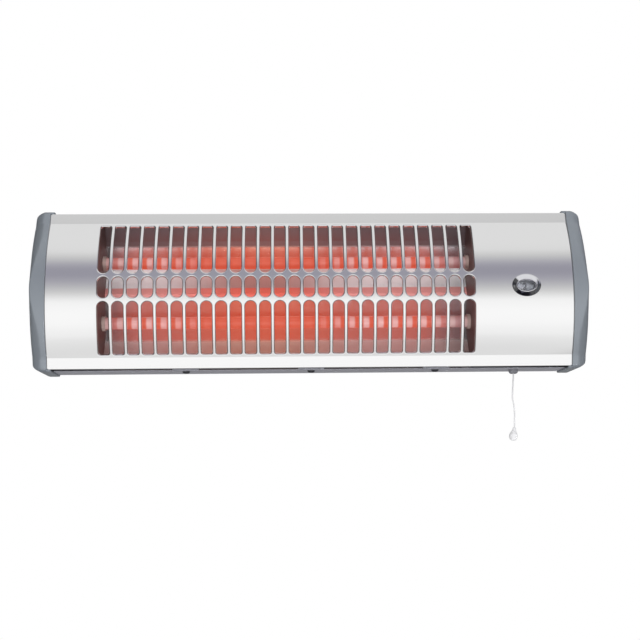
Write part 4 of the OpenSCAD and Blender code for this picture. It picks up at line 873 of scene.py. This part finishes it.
# Each tube is its wall's section carried round, and its coil a helix of wire inside.
def makeTubes():
    length = tube["right"] - tube["left"]
    r, w, k = tube["radius"], tube["wall"], tube["edge"]
    section = [(r - k, 0), (r - 0.1, 0.1), (r, k), (r, length * 0.25), (r, length * 0.5), (r, length * 0.75),
               (r, length - k), (r - 0.1, length - 0.1), (r - k, length), (r - w + k, length),
               (r - w, length - k), (r - w, length / 2), (r - w, k), (r - w + k, 0), (r - k, 0)]
    reach = length - 2 * tube["coilStart"]
    turns = int(reach / tube["coilPitch"])
    angle = np.linspace(0, 2 * np.pi * turns, turns * tube["perTurn"] + 1)
    for name, side in (("upper", 1), ("lower", -1)):
        z = side * tube["z"]
        glass = lathe(section, at(tube["left"], tube["depth"], z), (1, 0, 0), 40)
        addPiece(name + "QuartzTube", glass, "quartz", [name + "_quartz_tube"])
        path = np.stack([tube["left"] + tube["coilStart"] + reach * angle / angle[-1],
                         -standOff - tube["depth"] + tube["coilRadius"] * np.cos(angle),
                         z + tube["coilRadius"] * np.sin(angle)], -1)
        addPiece(name + "HeatingCoil", tubeAlong(path, tube["wire"], 5, (1, 0, 0)), "glowing_wire",
                 [name + "_heating_coil"], sharp=180)


makeTubes()
print("tubes and coils wound")

spring = {"x": 189.0, "depth": 18.0, "low": -33.4, "high": -14.1, "radius": 6.76, "wire": 0.50, "turns": 7.0,
          "dead": 1.0, "live": 0.86, "perTurn": 20, "travel": 10.0}


# The switch's return spring stands on the body's floor, and the slide's shoulder presses it down. It is a
# helix whose end turns lie nearly flat: most of the rise is in the live turns, and the rest goes evenly.
def makeSpring():
    turn = np.linspace(0, spring["turns"], int(spring["turns"] * spring["perTurn"]) + 1)
    share = np.clip((turn - spring["dead"]) / (spring["turns"] - 2 * spring["dead"]), 0, 1)
    low, high = spring["low"] + spring["wire"], spring["high"] - spring["wire"]
    share = spring["live"] * share + (1 - spring["live"]) * turn / spring["turns"]
    r, angle, rise = spring["radius"] - spring["wire"], 2 * np.pi * turn, low + (high - low) * share
    path = at(spring["x"] + r * np.cos(angle), spring["depth"] + r * np.sin(angle), rise)
    piece = addPiece("returnSpring", tubeAlong(path, spring["wire"], 8, (0, 0, 1)), "spring_steel",
                     ["return_spring"], sharp=180)
    tuple((at(spring["x"], spring["depth"],
              spring["low"]) * mm).tolist())
    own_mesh(piece)


makeSpring()
print("return spring wound")

# "line" is where the points stand across the head, in shares of its radius
head = {"radius": 3.5, "height": 2.0, "shank": 1.75, "armHalf": 0.45, "armLong": 1.75, "recess": 1.15,
        "line": [0, 0.1, 0.16, 0.24, 0.36, 0.46, 0.54, 0.66, 0.8, 0.92, 0.98, 1.0]}


# A square of points pressed into a disc, raised to a pan head, with a cross sunk into it.
def crossHead(place, axis, length):
    line = np.array(head["line"])
    line = np.r_[-line[:0:-1], line]
    a, b = np.meshgrid(line, line, indexing="ij")
    x = a * np.sqrt(1 - b * b / 2) * head["radius"]
    y = b * np.sqrt(1 - a * a / 2) * head["radius"]
    r = np.minimum(np.hypot(x, y) / head["radius"], 1)
    rise = head["height"] * np.sqrt(np.maximum(0, 1 - r ** 3.4))
    near, far = np.minimum(np.abs(x), np.abs(y)), np.maximum(np.abs(x), np.abs(y))
    across = np.clip((head["armHalf"] + 0.12 - near) / 0.24, 0, 1)
    rise = rise - across * np.clip((head["armLong"] - far) / 0.35, 0, 1) * head["recess"]
    u, v, w = squareTo(axis, (0.2, 0.9, 0.35))

    def placed(h):
        return np.array(place) + x[..., None] * u + y[..., None] * v + h[..., None] * w

    s = head["shank"]
    shank = [(0, -0.01), (s, -0.01), (s, s - length), (s * 0.4, -length), (0, -length)]
    return [gridPatch(placed(rise)), gridPatch(placed(0 * rise)), lathe(shank, place, axis, 14)]


# where the screws sit, by x, depth and height, how long they are, and which way they face; the cover's lower
# ones face down
screws = {
    "cap": {"x": (-233.75, 233.75), "depth": -2, "z": (-45, 45), "long": 7, "way": (0, 1, 0)},
    "cover": {"x": (-tabs["pitch"], 0, tabs["pitch"]), "depth": 22, "z": (-72, 72), "long": 9,
              "way": (0, 0, 1), "finish": screwBlack},
    "plate": {"x": (153.5, -197.1), "depth": 0, "z": (-40, 40), "long": 5, "way": (0, 1, 0)},
    "switch": {"x": (194,), "depth": 0, "z": (16, -40), "long": 6, "way": (0, 1, 0)},
}
for name, row in screws.items():
    way, parts = np.array(row["way"]), []
    for x in row["x"]:
        for z in row["z"]:
            parts += crossHead(at(x, row["depth"], z), way * [1, 1, np.sign(z)], row["long"])
    addPiece(name + "Screws", joined(parts), "zinc", [name + "_screws"], finish=row.get("finish"), sharp=50)
print("screws driven")

# the CAD pieces that stay take their finishes
for part in frame["record"]["subparts"]:
    mesh = nodes[part["node"]].data
    mesh.materials.clear()
    mesh.materials.append(finishes[part["material_slot"]])
print("finishes given to the CAD pieces")

studio = {
    "floorZ": -1.0, "floorReach": 4.0, "ambient": 0.55, "metalLevel": 1.12,
    # what polished metal sees, by the sine of its height above the level, from below to overhead
    "sky": [(-1.0, 0.05), (-0.85, 0.1), (-0.81, 0.4), (-0.77, 0.79), (-0.69, 0.78), (-0.53, 0.92),
            (-0.37, 1.02), (-0.20, 1.03), (-0.04, 0.975), (0.02, 0.85), (0.095, 0.66), (0.18, 0.515),
            (0.27, 0.395), (0.355, 0.328), (0.43, 0.325), (0.48, 0.36), (0.53, 0.44), (0.61, 0.62),
            (0.68, 0.755), (0.75, 0.775), (1.0, 0.775)],
    # the same on the floor, by distance out, as a share of its reach: a painted shadow close under the
    # heater, brighter further out
    "ground": [(0.0, 0.05), (0.13, 0.1), (0.165, 0.4), (0.2, 0.79), (0.27, 0.785), (0.33, 0.83),
               (0.375, 0.865), (0.42, 0.94), (0.635, 1.02), (1.0, 1.03)],
    # under this level the light loses this share of green and gains this share of blue, by how dim it is
    "coolUnder": 0.58, "lessGreen": 0.06, "moreBlue": 0.6,
    # dark flags at both sides and over the floor, with a leaning top, and a dim room behind the wall side
    "flags": (0.6, 0.8), "floorFlags": (0.5, 0.75), "flag": 0.12, "flagTop": (0.66, 0.8), "flagLean": 0.45,
    "behind": 0.22, "behindFrom": (-0.1, 0.5),
}


# How much of the light comes from a way: the flags darken it by the share of x in its level part, and the
# room behind by the share of y. A flag ends at its top, which leans by x. Gives the way's height and the
# length of its level part as well.
def sideFlag(tree, way, edges, top=None):
    x, y, z = addNode(tree, "SeparateXYZ", [way]).outputs
    squares = [addNode(tree, "Math", [v, v], operation="MULTIPLY") for v in (x, y)]
    both = addNode(tree, "Math", squares, operation="ADD")
    away = addNode(tree, "Math", [both], operation="SQRT")
    away = addNode(tree, "Math", [away, 1e-3], operation="MAXIMUM")
    aside, back = (addNode(tree, "Math", [v, away], operation="DIVIDE") for v in (x, y))
    aside = addNode(tree, "Math", [aside], operation="ABSOLUTE")
    flag, dim = (addNode(tree, "MapRange", [share, *ends, 1.0, dark], **smooth)
                 for share, ends, dark in ((aside, edges, studio["flag"]),
                                           (back, studio["behindFrom"], studio["behind"])))
    level = addNode(tree, "Math", [flag, dim], operation="MULTIPLY")
    if top:
        lean = addNode(tree, "Math", [x, studio["flagLean"], z], operation="MULTIPLY_ADD")
        over = addNode(tree, "MapRange", [lean, *top], **smooth)
        level = addNode(tree, "Mix", {0: over, 2: level, 3: 1.0}, data_type="FLOAT")
    return z, away, level


# What polished metal sees: a ramp of light, the cooler the dimmer it is, and darkened by the flags.
def metalSees(tree, kind, where, levels, flag):
    stops = []
    for place, level in levels:
        dim = max(0, studio["coolUnder"] - level)
        green, blue = level * (1 - studio["lessGreen"] * dim), level * (1 + studio["moreBlue"] * dim)
        stops.append((place, (level, green, blue, 1)))
    light = addNode(tree, "ValToRGB", [where], stops)
    seen = addNode(tree, "Mix", {0: 1.0, 6: light, 7: flag}, data_type="RGBA", blend_type="MULTIPLY")
    return addNode(tree, kind, {"Color": seen.outputs[2], "Strength": studio["metalLevel"]})


# Metal sees the ramped sky, matt surfaces an even light, and the camera plain white.
def makeWorld():
    world = bpy.data.worlds.new("studio")
    bpy.context.scene.world = world
    world.use_nodes = True
    tree = world.node_tree
    tree.nodes.clear()
    way = addNode(tree, "TexCoord").outputs["Generated"]
    up, _, flag = sideFlag(tree, way, studio["flags"], studio["flagTop"])
    height = addNode(tree, "MapRange", [up, -1.0, 1.0])
    metal = metalSees(tree, "Background", height, [((s + 1) / 2, v) for s, v in studio["sky"]], flag)
    plain, white = (addNode(tree, "Background", {"Color": (1, 1, 1, 1), "Strength": strength})
                    for strength in (studio["ambient"], 1.0))
    ray = addNode(tree, "LightPath").outputs
    soft = addNode(tree, "MixShader", [ray["Is Diffuse Ray"], metal, plain])
    clear = addNode(tree, "Math", [ray["Is Camera Ray"], ray["Is Transmission Ray"]], operation="MAXIMUM")
    last = addNode(tree, "MixShader", [clear, soft, white])
    addNode(tree, "OutputWorld", {"Surface": last})


# A pale floor far below: it takes shadows, and polished metal sees it as a white sweep with a painted shadow
# under the heater.
def makeFloor():
    r, z = studio["floorReach"], studio["floorZ"]
    mesh = bpy.data.meshes.new("floor")
    mesh.from_pydata([(-r, -r, z), (r, -r, z), (r, r, z), (-r, r, z)], [], [(0, 1, 2, 3)])
    floor = newObject("floor", mesh)
    material = bpy.data.materials.new("pale matt floor")
    material.use_nodes = True
    tree = material.node_tree
    shader = tree.nodes["Principled BSDF"]
    feed(tree, shader, {"Base Color": linear("F2F2F2"), "Roughness": 0.9})
    _, away, flag = sideFlag(tree, addNode(tree, "TexCoord").outputs["Object"], studio["floorFlags"])
    share = addNode(tree, "Math", [away, r], operation="DIVIDE")
    sweep = metalSees(tree, "Emission", share, studio["ground"], flag)
    ray = addNode(tree, "LightPath").outputs["Is Glossy Ray"]
    last = addNode(tree, "MixShader", [ray, shader, sweep])
    feed(tree, tree.nodes["Material Output"], {"Surface": last})
    mesh.materials.append(material)


lamps = [  # name, place and size in metres, power in watts
    ("key", (-0.9, -1.9, 1.5), 1.4, 11.0),
    ("fill", (1.3, -1.7, 0.4), 1.2, 8.0),
    ("front", (0.0, -2.0, -0.92), 0.6, 30.0),
    ("back", (0.2, 1.8, 1.3), 1.4, 20.0),
]
lampAim = Vector((0, -0.06, 0))


# Round soft lamps that all face the heater's middle and aren't mirrored themselves.
def makeLamps():
    for name, place, size, power in lamps:
        data = bpy.data.lights.new(name, "AREA")
        data.shape, data.size, data.energy = "DISK", size, power
        lamp = newObject(name, data)
        lamp.location = place
        lamp.rotation_euler = (lampAim - Vector(place)).to_track_quat("-Z", "Y").to_euler()
        lamp.visible_glossy = False


makeWorld()
makeFloor()
makeLamps()
bpy.context.scene.view_settings.view_transform = "Standard"
print("studio lit")
